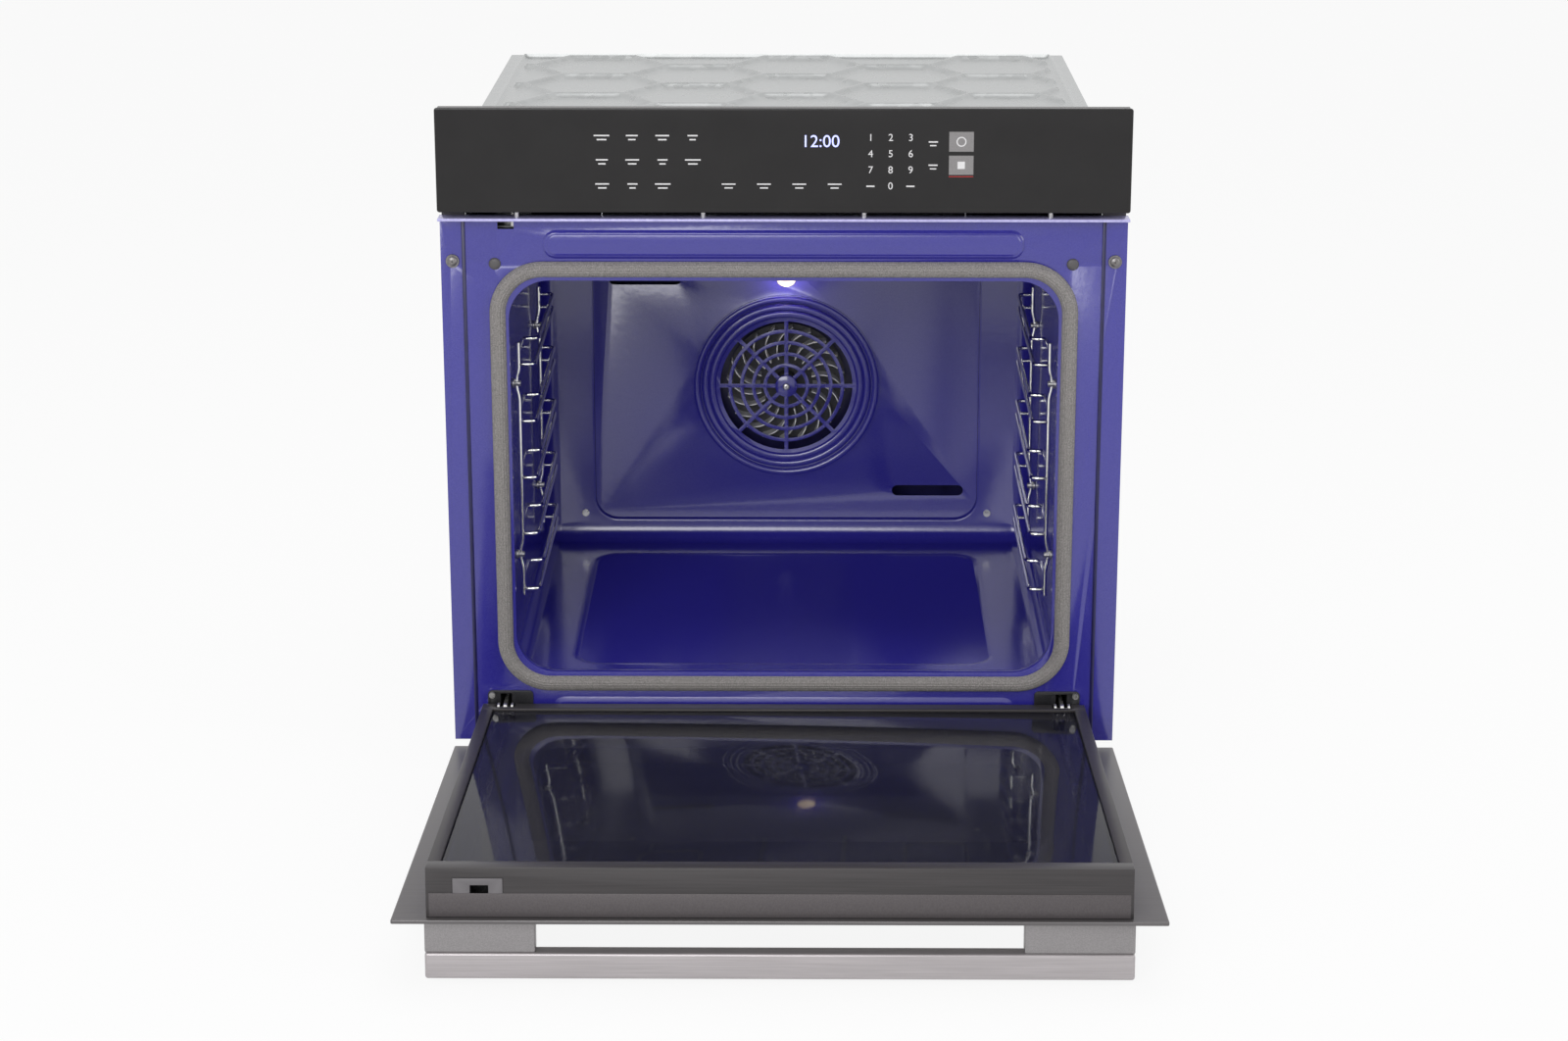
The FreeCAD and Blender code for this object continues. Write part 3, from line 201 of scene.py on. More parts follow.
ENAMEL = Finish("blue_enamel", (0.012, 0.008, 0.23), (0.05, 0.045, 0.36), 0.15, ior=1.75,
                grain=Grain.PEEL, scale=110.0, depth=0.10, spread=0.25)
GALVANISED = Finish("galvanised_sheet", (0.36, 0.37, 0.37), (0.43, 0.44, 0.44), 0.30, 0.85,
                    grain=Grain.SPANGLE, scale=90.0, depth=0.0005, spread=0.9)
SEAL = Finish("braided_seal", (0.14, 0.132, 0.128), (0.36, 0.34, 0.33), 0.85, grain=Grain.BRAID,
              scale=900.0, depth=0.6, spread=0.35)
CHROME = Finish("chromed_wire", (0.70, 0.70, 0.71), (0.85, 0.85, 0.86), 0.10, 1.0,
                scale=300.0, depth=0.01)
ZINC = Finish("bright_zinc", (0.42, 0.42, 0.41), (0.62, 0.61, 0.60), 0.28, 0.9, scale=250.0)
BLADE = Finish("fan_blade", (0.80, 0.80, 0.78), (0.92, 0.91, 0.90), 0.35, 0.25, scale=150.0)
HEATER = Finish("heater_tube", (0.10, 0.09, 0.085), (0.20, 0.18, 0.17), 0.5, 0.7, scale=500.0)
PANEL = Finish("charcoal_glass", (0.013, 0.012, 0.0125), (0.016, 0.015, 0.0155), 0.14, ior=1.38,
               scale=20.0, depth=0.004)
HOUSING = Finish("charcoal_housing", (0.075, 0.070, 0.072), (0.095, 0.09, 0.092), 0.45,
                 scale=900.0, depth=0.03)
TRIM = Finish("door_trim", (0.040, 0.037, 0.038), (0.055, 0.050, 0.052), 0.40, 0.3,
              grain=Grain.BRUSHED, scale=600.0, depth=0.02)
LEDGE = Finish("door_ledge", (0.075, 0.066, 0.070), (0.10, 0.09, 0.093), 0.45, 0.3,
               scale=700.0, depth=0.02)
SKIN = Finish("door_skin", (0.125, 0.118, 0.120), (0.16, 0.152, 0.155), 0.38, 0.75,
              grain=Grain.BRUSHED, scale=700.0, depth=0.02)
SATIN = Finish("satin_bar", (0.38, 0.355, 0.362), (0.47, 0.44, 0.45), 0.36, 0.55,
               grain=Grain.BRUSHED, scale=800.0, depth=0.015)
POST = Finish("satin_post", (0.25, 0.24, 0.243), (0.32, 0.305, 0.31), 0.42, 0.6,
              grain=Grain.BRUSHED, scale=800.0, depth=0.015, along=1)
GLASS = Finish("door_glass", (0.48, 0.48, 0.52), (0.52, 0.52, 0.56), 0.03, 0.85, ior=2.4,
               scale=6.0, depth=0.002)
SCREW = Finish("fixing_screw", (0.16, 0.15, 0.15), (0.26, 0.25, 0.25), 0.35, 0.8, scale=300.0)
DOOR_MAT = Finish("door_mat", (0.02, 0.02, 0.022), (0.05, 0.05, 0.052), 0.95, grain=Grain.WOOL,
                  scale=300.0, depth=1.5)
# Blue enamel darkened to paint the shade in the frame's side steps and in the fan chamber behind the
# baffle.
PAINTED_SHADE = Finish("enamel_painted_shade", (0.006, 0.005, 0.05), (0.012, 0.01, 0.08), 0.3, scale=60.0)
BLACK = Finish("black_bracket", (0.012, 0.012, 0.014), (0.028, 0.028, 0.032), 0.38, 0.2,
               scale=600.0, depth=0.05)
STRIKE = Finish("strike_grey", (0.115, 0.11, 0.115), (0.15, 0.145, 0.15), 0.42, 0.5,
                scale=900.0, depth=0.02)
DARK = Finish("dark_plastic", (0.02, 0.019, 0.02), (0.03, 0.029, 0.03), 0.55, scale=900.0)
WOOL = Finish("mineral_wool", (0.50, 0.45, 0.28), (0.75, 0.70, 0.50), 0.95, grain=Grain.WOOL,
              scale=300.0, depth=1.5)
STRIP = Finish("vent_strip", (0.42, 0.40, 0.72), (0.55, 0.53, 0.85), 0.22, 0.2, scale=300.0)
PRINT = Finish("white_print", (0.70, 0.69, 0.70), (0.80, 0.79, 0.80), 0.5, scale=900.0)
KEY = Finish("grey_key", (0.22, 0.21, 0.212), (0.26, 0.25, 0.252), 0.45, scale=900.0)
DIGIT = Finish("display_digit", (0.42, 0.45, 0.95), (0.42, 0.45, 0.95), 0.4, glow=1.1,
               grain=Grain.NONE)
RED = Finish("red_line", (0.45, 0.02, 0.02), (0.45, 0.02, 0.02), 0.4, grain=Grain.NONE)
LAMP = Finish("lamp_glass", (1.0, 0.82, 0.62), (1.0, 0.82, 0.62), 0.05, glow=0.4,
              grain=Grain.NONE)
MOTOR = Finish("motor_case", (0.035, 0.035, 0.04), (0.06, 0.06, 0.065), 0.5, 0.3, scale=300.0)


def add_piece(name: str, bm: bmesh.types.BMesh, finish: Finish, body: str = "oven",
              nodes: Sequence[str] = (), smooth: float = 35.0) -> bpy.types.Object:
    """Turn a bmesh into a finished piece that rides on a body.

    Args:
        name: The piece's name.
        bm: Its shape, which is freed.
        finish: Its finish.
        body: The frame body it moves with.
        nodes: The frame nodes it stands for.
        smooth: The angle in degrees under which edges shade smooth.

    Returns:
        The new object.
    """
    mesh = bpy.data.meshes.new(name)
    bm.to_mesh(mesh)
    bm.free()
    mesh.materials.append(finish.material())
    piece = bpy.data.objects.new(name, mesh)
    bpy.context.scene.collection.objects.link(piece)
    mesh.shade_smooth()
    if smooth < 180.0:
        mesh.set_sharp_from_angle(angle=math.radians(smooth))
    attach(piece, body)
    if nodes:
        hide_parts(*nodes)
    LOG.info("%s: %d faces", name, len(mesh.polygons))
    return piece


@dataclass(frozen=True)
class Ring:
    """An upright rectangle with rounded corners, in millimetres."""

    x: float
    low: float
    high: float
    y: float
    corner: float

    def grown(self, by: float, y: float) -> Ring:
        """The ring moved outward on all sides, at another depth."""
        return Ring(self.x + by, self.low - by, self.high + by, y, max(self.corner + by, 0.4))

    def loop(self, bm: bmesh.types.BMesh, segments: int = 10) -> list[bmesh.types.BMVert]:
        """Draw the ring as one loop of edges.

        Args:
            bm: The mesh that takes the loop.
            segments: Steps round each corner.

        Returns:
            The loop's vertices, in turn round the ring from the middle of its left side.
        """
        corners = ((-self.x, self.low), (self.x, self.low), (self.x, self.high),
                   (-self.x, self.high))
        verts = [bm.verts.new((x * MM, self.y * MM, z * MM)) for x, z in corners]
        for pair in zip(verts, verts[1:] + verts[:1]):
            bm.edges.new(pair)
        made = bmesh.ops.bevel(bm, geom=verts, offset=self.corner * MM, segments=segments,
                               profile=0.5, affect="VERTICES", offset_type="OFFSET",
                               material=-1)
        middle = (self.low + self.high) / 2 * MM
        return sorted(made["verts"], key=lambda vert: math.atan2(vert.co.z - middle, vert.co.x))


def bridge(bm: bmesh.types.BMesh, rings: Sequence[Ring], segments: int = 10,
           close: Sequence[int] = (), around: bool = False) -> None:
    """Bridge rings in order into one surface.

    Args:
        bm: The mesh that takes the surface.
        rings: The rings, in order along the surface.
        segments: Steps round each ring's corners.
        close: Which rings get a face across them.
        around: Whether the last ring joins the first.
    """
    loops = [ring.loop(bm, segments) for ring in rings]
    for index in close:
        rim = {edge for vert in loops[index] for edge in vert.link_edges}
        bmesh.ops.contextual_create(bm, geom=list(rim))
    for before, after in zip(loops, loops[1:] + loops[:1] if around else loops[1:]):
        for index in range(len(before)):
            bm.faces.new((before[index - 1], before[index], after[index], after[index - 1]))


def quarter(ring: Ring, radius: float, y: float, steps: int = 5) -> list[Ring]:
    """Rings that turn a wall running in depth into an upright one, with a rounded corner.

    Args:
        ring: The wall's ring.
        radius: The corner's radius.
        y: Depth of the upright wall.
        steps: Steps round the corner.

    Returns:
        The rings from the wall to the upright face.
    """
    turns = (math.pi / 2 * step / steps for step in range(steps + 1))
    return [ring.grown(-radius * (1 - math.cos(t)), y - radius + radius * math.sin(t))
            for t in turns]


def softened(node: str, finish: Finish, width: float, body: str = "oven", segments: int = 2,
             angle: float = 40.0) -> bpy.types.Object:
    """Stand a copy of a frame node in its place with its sharp edges eased.

    Args:
        node: The frame node.
        finish: The finish it takes.
        width: The width of the eased edge.
        body: The body it rides on.
        segments: Steps across the eased edge.
        angle: Edges that turn by more than this many degrees are eased.

    Returns:
        The new object, named after the node.
    """
    bm = bmesh.new()
    bm.from_mesh(bpy.data.objects[node].data)
    bmesh.ops.remove_doubles(bm, verts=bm.verts, dist=WELD * MM)
    bmesh.ops.dissolve_limit(bm, angle_limit=math.radians(1.0), verts=bm.verts, edges=bm.edges)
    sharp = [e for e in bm.edges
             if len(e.link_faces) == 2 and e.calc_face_angle(0.0) > math.radians(angle)]
    bmesh.ops.bevel(bm, geom=sharp, offset=width, segments=segments, profile=0.5,
                    affect="EDGES", offset_type="OFFSET", clamp_overlap=True, material=-1)
    return add_piece(node + "_skin", bm, finish, body, [node])


def block(bm: bmesh.types.BMesh, x: Limits, y: Limits, z: Limits, ease: float = 0.0) -> None:
    """Add a block between three pairs of limits, with its edges eased."""
    size = Matrix.Diagonal((x[1] - x[0], y[1] - y[0], z[1] - z[0], 1.0))
    middle = Matrix.Translation(((x[0] + x[1]) / 2, (y[0] + y[1]) / 2, (z[0] + z[1]) / 2))
    made = bmesh.ops.create_cube(bm, size=1.0, matrix=middle @ size)
    if ease:
        edges = list({e for v in made["verts"] for e in v.link_edges})
        bmesh.ops.bevel(bm, geom=edges, offset=ease, segments=2, profile=0.5, affect="EDGES",
                        offset_type="OFFSET", clamp_overlap=True, material=-1)


def turned_shape(bm: bmesh.types.BMesh, profile: Sequence[tuple[float, float]], centre: Vector,
                 axis: Vector, steps: int = 32) -> None:
    """Spin a profile of (radius, distance along the axis) pairs into a closed round shape.

    Args:
        bm: The mesh that takes the shape.
        profile: Points from the first end of the profile to the last.
        centre: A point on the axis, from which distances count.
        axis: The direction of the axis, one of the frame's.
        steps: Facets round the axis.
    """
    across = Vector((0, 0, 1)) if abs(axis.z) < 0.5 else Vector((1, 0, 0))
    verts = [bm.verts.new(centre + across * r + axis * d) for r, d in profile]
    edges = [bm.edges.new(pair) for pair in zip(verts, verts[1:])]
    bmesh.ops.spin(bm, geom=verts + edges, cent=centre, axis=axis, angle=math.tau,
                   steps=steps, use_merge=True, use_duplicate=False)
    bmesh.ops.remove_doubles(bm, verts=bm.verts, dist=WELD * MM)
    bmesh.ops.recalc_face_normals(bm, faces=bm.faces)


def wire_piece(name: str, routes: Sequence[Sequence[Vector]], radius: float, finish: Finish,
               bend: float, body: str = "oven", nodes: Sequence[str] = ()) -> bpy.types.Object:
    """Make round wires that follow routes with rounded corners, as one piece.

    Args:
        name: The piece's name.
        routes: Each wire's corner points.
        radius: The wire's radius.
        finish: Its finish.
        bend: How far from a corner its bend starts.
        body: The frame body it moves with.
        nodes: The frame nodes it stands for.

    Returns:
        The new object.
    """
    curve = bpy.data.curves.new(name + "_path", "CURVE")
    curve.dimensions = "3D"
    curve.bevel_depth = radius
    curve.bevel_resolution = 4
    curve.use_fill_caps = True
    curve.resolution_u = 8
    for route in routes:
        points = eased_route(route, bend)
        spline = curve.splines.new("BEZIER")
        spline.bezier_points.add(len(points) - 1)
        for point, (place, before, after) in zip(spline.bezier_points, points):
            point.co = place
            point.handle_left_type = point.handle_right_type = "FREE"
            point.handle_left = before
            point.handle_right = after
    holder = bpy.data.objects.new(name + "_path", curve)
    bpy.context.scene.collection.objects.link(holder)
    mesh = bpy.data.meshes.new_from_object(holder)
    bm = bmesh.new()
    bm.from_mesh(mesh)
    bpy.data.objects.remove(holder)
    bpy.data.meshes.remove(mesh)
    return add_piece(name, bm, finish, body, nodes, smooth=60.0)


def eased_route(route: Sequence[Vector], bend: float) -> list[tuple[Vector, Vector, Vector]]:
    """Give each inner corner of a route two curve points with handles that round it.

    Args:
        route: The corner points.
        bend: How far from a corner its bend starts.

    Returns:
        Place, left handle and right handle of each curve point.
    """
    points = [(route[0], route[0], route[0].lerp(route[1], 0.1))]
    for before, corner, after in zip(route, route[1:], route[2:]):
        back = (before - corner)
        ahead = (after - corner)
        reach = min(bend, back.length * 0.45, ahead.length * 0.45)
        first = corner + back.normalized() * reach
        last = corner + ahead.normalized() * reach
        points.append((first, first + back.normalized() * reach * 0.2, first.lerp(corner, 0.55)))
        points.append((last, last.lerp(corner, 0.55), last + ahead.normalized() * reach * 0.2))
    points.append((route[-1], route[-1].lerp(route[-2], 0.1), route[-1]))
    return points


@dataclass
class Cavity:
    """Enamelled inside of the oven: walls, dished floor and rear wall round the baffle."""

    width: float = 622.0
    low: float = 66.0
    high: float = 545.0
    corner: float = 20.0
    wall: float = 1.2
    front: float = 0.6
    back: float = 507.6
    outer_back: float = 515.8
    dish: Ring = Ring(247.0, 92.0, 518.0, 507.6, 30.0)
    recess: tuple[float, float] = (30.0, 443.0)
    recess_half: float = 244.0
    recess_corner: float = 34.0
    recess_slope: float = 26.0
    recess_deep: float = 8.6
    chamber_back: float = 553.0
    chamber_gap: float = 0.4
    lip: float = 2.5
    cuts: int = 110

    def floor_drop(self, x: float, y: float) -> float:
        """How far the floor's recess lies below the floor at a place, all in millimetres."""
        middle = (self.recess[0] + self.recess[1]) / 2
        reach_y = (self.recess[1] - self.recess[0]) / 2 - self.recess_corner
        out_x = abs(x) - (self.recess_half - self.recess_corner)
        out_y = abs(y - middle) - reach_y
        inside = min(max(out_x, out_y), 0.0)
        edge = self.recess_corner - math.hypot(max(out_x, 0), max(out_y, 0)) - inside
        share = min(max(edge / self.recess_slope, 0.0), 1.0)
        return self.recess_deep * share * share * (3 - 2 * share)

    def liner(self) -> None:
        """Model the walls as one closed shell whose floor is pressed down in its middle."""
        bm = bmesh.new()
        inner = Ring(self.width / 2, self.low, self.high, self.front, self.corner)
        outside = inner.grown(self.wall, self.front)
        lip = [self.dish.grown(self.lip * (1 - math.sin(t)), self.back + self.lip * (1 - math.cos(t)))
               for t in (0.0, 0.4, 0.8, 1.2, math.pi / 2)]
        rings = [inner, *quarter(inner, self.corner - 0.5, self.back), *lip,
                 self.dish.grown(-0.6, self.outer_back - 0.3),
                 self.dish.grown(0.8, self.outer_back),
                 outside.grown(-self.corner, self.outer_back),
                 outside.grown(0.0, self.outer_back - self.corner), outside]
        bridge(bm, rings, around=True)
        floor = max((f for f in bm.faces if self.on_floor(f)), key=lambda f: f.calc_area())
        bmesh.ops.subdivide_edges(bm, edges=list(floor.edges), cuts=self.cuts, use_grid_fill=True)
        for vert in bm.verts:
            if abs(vert.co.z - self.low * MM) < WELD * MM:
                vert.co.z -= self.floor_drop(vert.co.x / MM, vert.co.y / MM) * MM
        bmesh.ops.recalc_face_normals(bm, faces=bm.faces)
        add_piece("cavity_liner", bm, ENAMEL, nodes=["oven_liner"], smooth=50.0)

    def on_floor(self, face: bmesh.types.BMFace) -> bool:
        """Whether a face lies in the floor's plane."""
        return all(abs(v.co.z - self.low * MM) < WELD * MM for v in face.verts)

    def chamber(self) -> None:
        """Model the fan's chamber behind the baffle, closed behind and open in front, in enamel darkened as
        painted shade.
        """
        room = Ring(self.width / 2, self.low, self.high, self.outer_back + self.chamber_gap,
                    self.corner)
        bm = bmesh.new()
        bridge(bm, [room, room.grown(0.0, self.chamber_back)], close=(1,))
        bmesh.ops.recalc_face_normals(bm, faces=bm.faces)
        bmesh.ops.reverse_faces(bm, faces=bm.faces)
        bmesh.ops.solidify(bm, geom=bm.faces[:], thickness=self.wall * MM)
        # The chamber's enamel is darkened as painted shade.
        add_piece("fan_chamber", bm, PAINTED_SHADE, smooth=50.0)

    def build(self) -> None:
        """Make the cavity's pieces."""
        self.liner()
        self.chamber()


@dataclass
class FanCover:
    """Rear baffle: the slotted grille, its rings, boss and screws."""

    height: float = 269.0
    face: float = 516.0
    ring: float = 120.0
    second_ring: float = 95.0
    bead: float = 5.0
    groove: float = 3.2
    rises: tuple[float, float, float] = (4.6, 3.6, 3.0)
    boss_profile: Profile = ((0.0, -2.2), (9.0, -1.9), (14.0, 0.0), (14.5, 3.2), (0.0, 3.2))
    wheel_back: float = 545.0
    blades: int = 20
    blade_root: float = 34.0
    blade_tip: float = 76.0
    blade_deep: float = 20.0
    sheet: float = 1.2
    hub_profile: Profile = ((14.0, -1.2), (12.0, -12.0), (0.0, -13.0))
    sweep: float = -0.42

    def rings(self) -> None:
        """Model the double bead round the fan and the single one inside it."""
        centre = Vector((0.0, self.face * MM, self.height * MM))
        bm = bmesh.new()
        radii = (self.ring - self.bead, self.ring - self.bead * self.groove, self.second_ring)
        for radius, rise in zip(radii, self.rises):
            steps = [math.pi * step / 8 for step in range(9)]
            arc = [((radius + self.bead * math.cos(t)) * MM, -rise * math.sin(t) * MM)
                   for t in steps]
            self.lathe(bm, arc, centre)
        bmesh.ops.recalc_face_normals(bm, faces=bm.faces)
        add_piece("fan_rings", bm, ENAMEL, smooth=60.0)

    def lathe(self, bm: bmesh.types.BMesh, arc: Sequence[tuple[float, float]],
              centre: Vector) -> None:
        """Spin a closed profile of (radius, depth) pairs about the fan's axis."""
        verts = [bm.verts.new(centre + Vector((r, d, 0.0))) for r, d in arc]
        edges = [bm.edges.new(pair) for pair in zip(verts, verts[1:] + verts[:1])]
        bmesh.ops.spin(bm, geom=verts + edges, cent=centre, axis=(0, 1, 0), angle=math.tau,
                       steps=96, use_merge=True, use_duplicate=False)

    def boss(self) -> None:
        """Model the domed boss in the grille's middle with its screw."""
        centre = Vector((0.0, (self.face - 3.0) * MM, self.height * MM))
        bm = bmesh.new()
        turned_shape(bm, [(r * MM, d * MM) for r, d in self.boss_profile], centre, DEPTH, 40)
        add_piece("fan_boss", bm, ENAMEL, smooth=50.0)
        bm = bmesh.new()
        pan_screw(bm, 0.0, self.face - 5.0, self.height, 4.5, 2.2)
        add_piece("fan_boss_screw", bm, ZINC, smooth=50.0)

    def wheel(self) -> None:
        """Model the fan: a dark back plate, bright swept blades and a hub."""
        centre = Vector((0.0, self.wheel_back * MM, self.height * MM))
        bm = bmesh.new()
        profile = ((0.0, 0.0), (self.blade_tip, 0.0), (self.blade_tip, -self.sheet),
                   *self.hub_profile)
        turned_shape(bm, [(r * MM, d * MM) for r, d in profile], centre, DEPTH, 64)
        add_piece("fan_plate", bm, MOTOR, "convection_fan", smooth=40.0)
        bm = bmesh.new()
        for count in range(self.blades):
            made = bmesh.ops.create_grid(bm, x_segments=8, y_segments=1, size=0.5)
            for vert in made["verts"]:
                share = vert.co.x + 0.5
                radius = self.blade_root + (self.blade_tip - self.blade_root) * share
                turn = math.tau * count / self.blades + self.sweep * share * share
                depth = -self.sheet - self.blade_deep * (vert.co.y + 0.5)
                vert.co = centre + Vector((radius * math.cos(turn), depth,
                                           radius * math.sin(turn))) * MM
        bmesh.ops.recalc_face_normals(bm, faces=bm.faces)
        bmesh.ops.solidify(bm, geom=bm.faces[:], thickness=self.sheet * MM)
        add_piece("fan_blades", bm, BLADE, "convection_fan", ["convection_fan"], smooth=60.0)

    def build(self) -> None:
        """Make the baffle's pieces."""
        softened("fan_cover", ENAMEL, 0.7 * MM, angle=50.0)
        self.wheel()
        self.rings()
        self.boss()


def pan_screw(bm: bmesh.types.BMesh, x: float, y: float, z: float, radius: float,
              tall: float) -> None:
    """Add a pan-head screw that faces the front, with a cross recess.

    Args:
        bm: The mesh that takes the screw.
        x: Its place across, in millimetres.
        y: Where its head seats.
        z: Its height.
        radius: The head's radius.
        tall: The head's height.
    """
    centre = Vector((x, y, z)) * MM
    dome = [(radius * math.cos(t), -tall * (0.35 + 0.65 * math.sin(t)))
            for t in (0.0, 0.35, 0.7, 1.05, 1.35)]
    hollow = [(radius * 0.34, -tall * 0.99), (radius * 0.16, -tall * 0.35), (0.0, -tall * 0.3)]
    profile = [(0.0, 0.0), (radius, 0.0), *dome, *hollow]
    turned_shape(bm, [(r * MM, d * MM) for r, d in profile], centre, DEPTH, 20)
    for turn in (0.3, 0.3 + math.pi / 2):
        made = bmesh.ops.create_cube(bm, size=1.0)
        bmesh.ops.scale(bm, vec=Vector((radius * 1.1, tall * 0.3, radius * 0.22)) * MM,
                        verts=made["verts"])
        bmesh.ops.rotate(bm, cent=(0, 0, 0), matrix=Matrix.Rotation(turn, 3, "Y"),
                         verts=made["verts"])
        bmesh.ops.translate(bm, vec=centre + Vector((0, -tall * 0.9 * MM, 0)), verts=made["verts"])


@dataclass
class Seal:
    """Braided seal round the oven's mouth."""

    width: float = 652.0
    low: float = 45.0
    high: float = 548.4
    corner: float = 60.0
    band: float = 18.5
    proud: float = 9.4
    face: float = -1.1
    ribs: int = 9
    rib_depth: float = 0.07
    margin: float = 0.3

    def build(self) -> None:
        """Sweep a ribbed half-round round the mouth."""
        half_band = self.band / 2 - self.margin
        middle = Ring(self.width / 2 - self.band / 2, self.low + self.band / 2,
                      self.high - self.band / 2, 0.0, self.corner - self.band / 2)
        steps = self.ribs * 6
        rings = []
        for step in range(steps + 1):
            turn = math.pi * step / steps
            rib = 1.0 - self.rib_depth * abs(math.cos(self.ribs * turn))
            rings.append(middle.grown(half_band * rib * math.cos(turn),
                                      self.face - self.proud * rib * math.sin(turn)))
        bm = bmesh.new()
        bridge(bm, rings, segments=16, around=True)
        bmesh.ops.recalc_face_normals(bm, faces=bm.faces)
        add_piece("door_seal", bm, SEAL, nodes=["door_gasket"], smooth=180.0)


@dataclass
class RackGuides:
    """Chromed wire ladders that carry the racks, one a side."""

    wire: float = 4.9
    upright: float = 303.0
    wall: float = 310.2
    rail: float = 285.0
    front: float = 85.0
    back: float = 366.0
    low: float = 132.0
    high: float = 434.0
    stop: float = 142.0
    first: float = 138.9
    pitch: float = 67.4
    pair: float = 16.3
    levels: int = 5
    kink_heights: tuple[float, float] = (181.0, 386.0)
    kink: float = 3.0
    bend: float = 8.0
    sunk: float = 0.6
    stud_profile: Profile = ((0.0, 0.0), (5.5, 0.0), (5.5, 1.5), (3.4, 2.2), (3.4, 9.0), (0.0, 9.6))

    def routes(self, sign: int) -> list[list[Vector]]:
        """Corner points of one side's wires.

        Args:
            sign: Which side: -1 left, 1 right.

        Returns:
            One list of points for each wire.
        """
        place = self.upright * sign
        out = (self.upright + self.kink) * sign
        wires = []
        for y in (self.front, self.back):
            points = [(place, y, self.low)]
            for height in self.kink_heights:
                points += [(place, y, height - 16), (out, y, height - 5), (out, y, height + 5),
                           (place, y, height + 16)]
            wires.append([*points, (place, y, self.high)])
        meet = (self.upright - self.wire / 2 + self.sunk) * sign
        rail = self.rail * sign
        for level in range(self.levels):
            z = self.first + self.pitch * level
            wires.append([(meet, self.front, z), (rail, self.front, z), (rail, self.back, z),
                          (meet, self.back, z)])
            z += self.pair
            wires.append([(meet, self.back, z), (rail, self.back, z), (rail, self.stop, z),
                          (place, self.stop, z), (place, self.front + self.wire / 2 - self.sunk, z)])
        return [[Vector(point) * MM for point in wire] for wire in wires]

    def build(self) -> None:
        """Make both sides' guides and the studs they hang on."""
        for side, sign in SIDES:
            wire_piece(f"rack_wires_{side}", self.routes(sign), self.wire / 2 * MM, CHROME,
                       self.bend * MM, nodes=[f"rack_guide_{side}"])
            bm = bmesh.new()
            for y in (self.front, self.back):
                for z in self.kink_heights:
                    centre = Vector((sign * self.wall, y, z)) * MM
                    turned_shape(bm, [(r * MM, d * MM) for r, d in self.stud_profile], centre,
                                 Vector((-sign, 0, 0)), 20)
            add_piece(f"rack_studs_{side}", bm, ZINC, smooth=40.0)


@dataclass
class Casing:
    """Galvanised box round the cavity; its top is pressed with hexagons."""

    first_x: float = -232.0
    step_x: float = 122.25
    step_y: float = 141.0
    offset_y: float = 71.0
    start_y: float = 212.0
    bead: float = 6.5
    rise: float = 4.2
    border: float = 26.0
    border_share: float = 0.7
    border_bead: float = 2.5
    cuts: int = 230

    def pressed(self, x: float, y: float, low: Vector, high: Vector) -> float:
        """Height of the pressing at a place on the top.

        Args:
            x: Place across, in millimetres.
            y: Depth.
            low: The cover's lowest corner.
            high: The cover's highest corner.

        Returns:
            How far the sheet stands up there.
        """
        edge = min(x - low.x, high.x - x, y - low.y, high.y - y)
        if edge < self.border:
            return self.rise * math.exp(-((edge - self.border * self.border_share) / self.border_bead) ** 2)
        best = 1e9
        apothem = self.step_y / 2
        for column in range(-1, 6):
            middle_x = self.first_x + column * self.step_x
            shift = self.offset_y if column % 2 else 0.0
            row = round((y - self.start_y - shift) / self.step_y)
            middle_y = self.start_y + shift + row * self.step_y
            across = (abs(y - middle_y),
                      abs(abs(x - middle_x) * math.sqrt(3) / 2 + abs(y - middle_y) / 2))
            best = min(best, abs(max(across) - apothem))
        return self.rise * math.exp(-(best / self.bead) ** 2)

    def top(self) -> None:
        """Press the hexagons into the top cover."""
        low, high = (Vector(corner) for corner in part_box("top_cover"))
        bm = bmesh.new()
        block(bm, (low.x, high.x), (low.y, high.y), (low.z, high.z))
        bm.faces.ensure_lookup_table()
        lid = max(bm.faces, key=lambda face: face.calc_center_median().z)
        bmesh.ops.subdivide_edges(bm, edges=list(lid.edges), cuts=self.cuts, use_grid_fill=True)
        for vert in bm.verts:
            if vert.co.z > high.z - WELD * MM:
                vert.co.z += self.pressed(vert.co.x / MM, vert.co.y / MM, low / MM,
                                          high / MM) * MM
        add_piece("top_sheet", bm, GALVANISED, nodes=["top_cover"], smooth=60.0)

    def build(self) -> None:
        """Make the casing's visible sheets."""
        self.top()
        for node in ("side_panels", "rear_cover", "terminal_box"):
            softened(node, GALVANISED, 0.4 * MM)


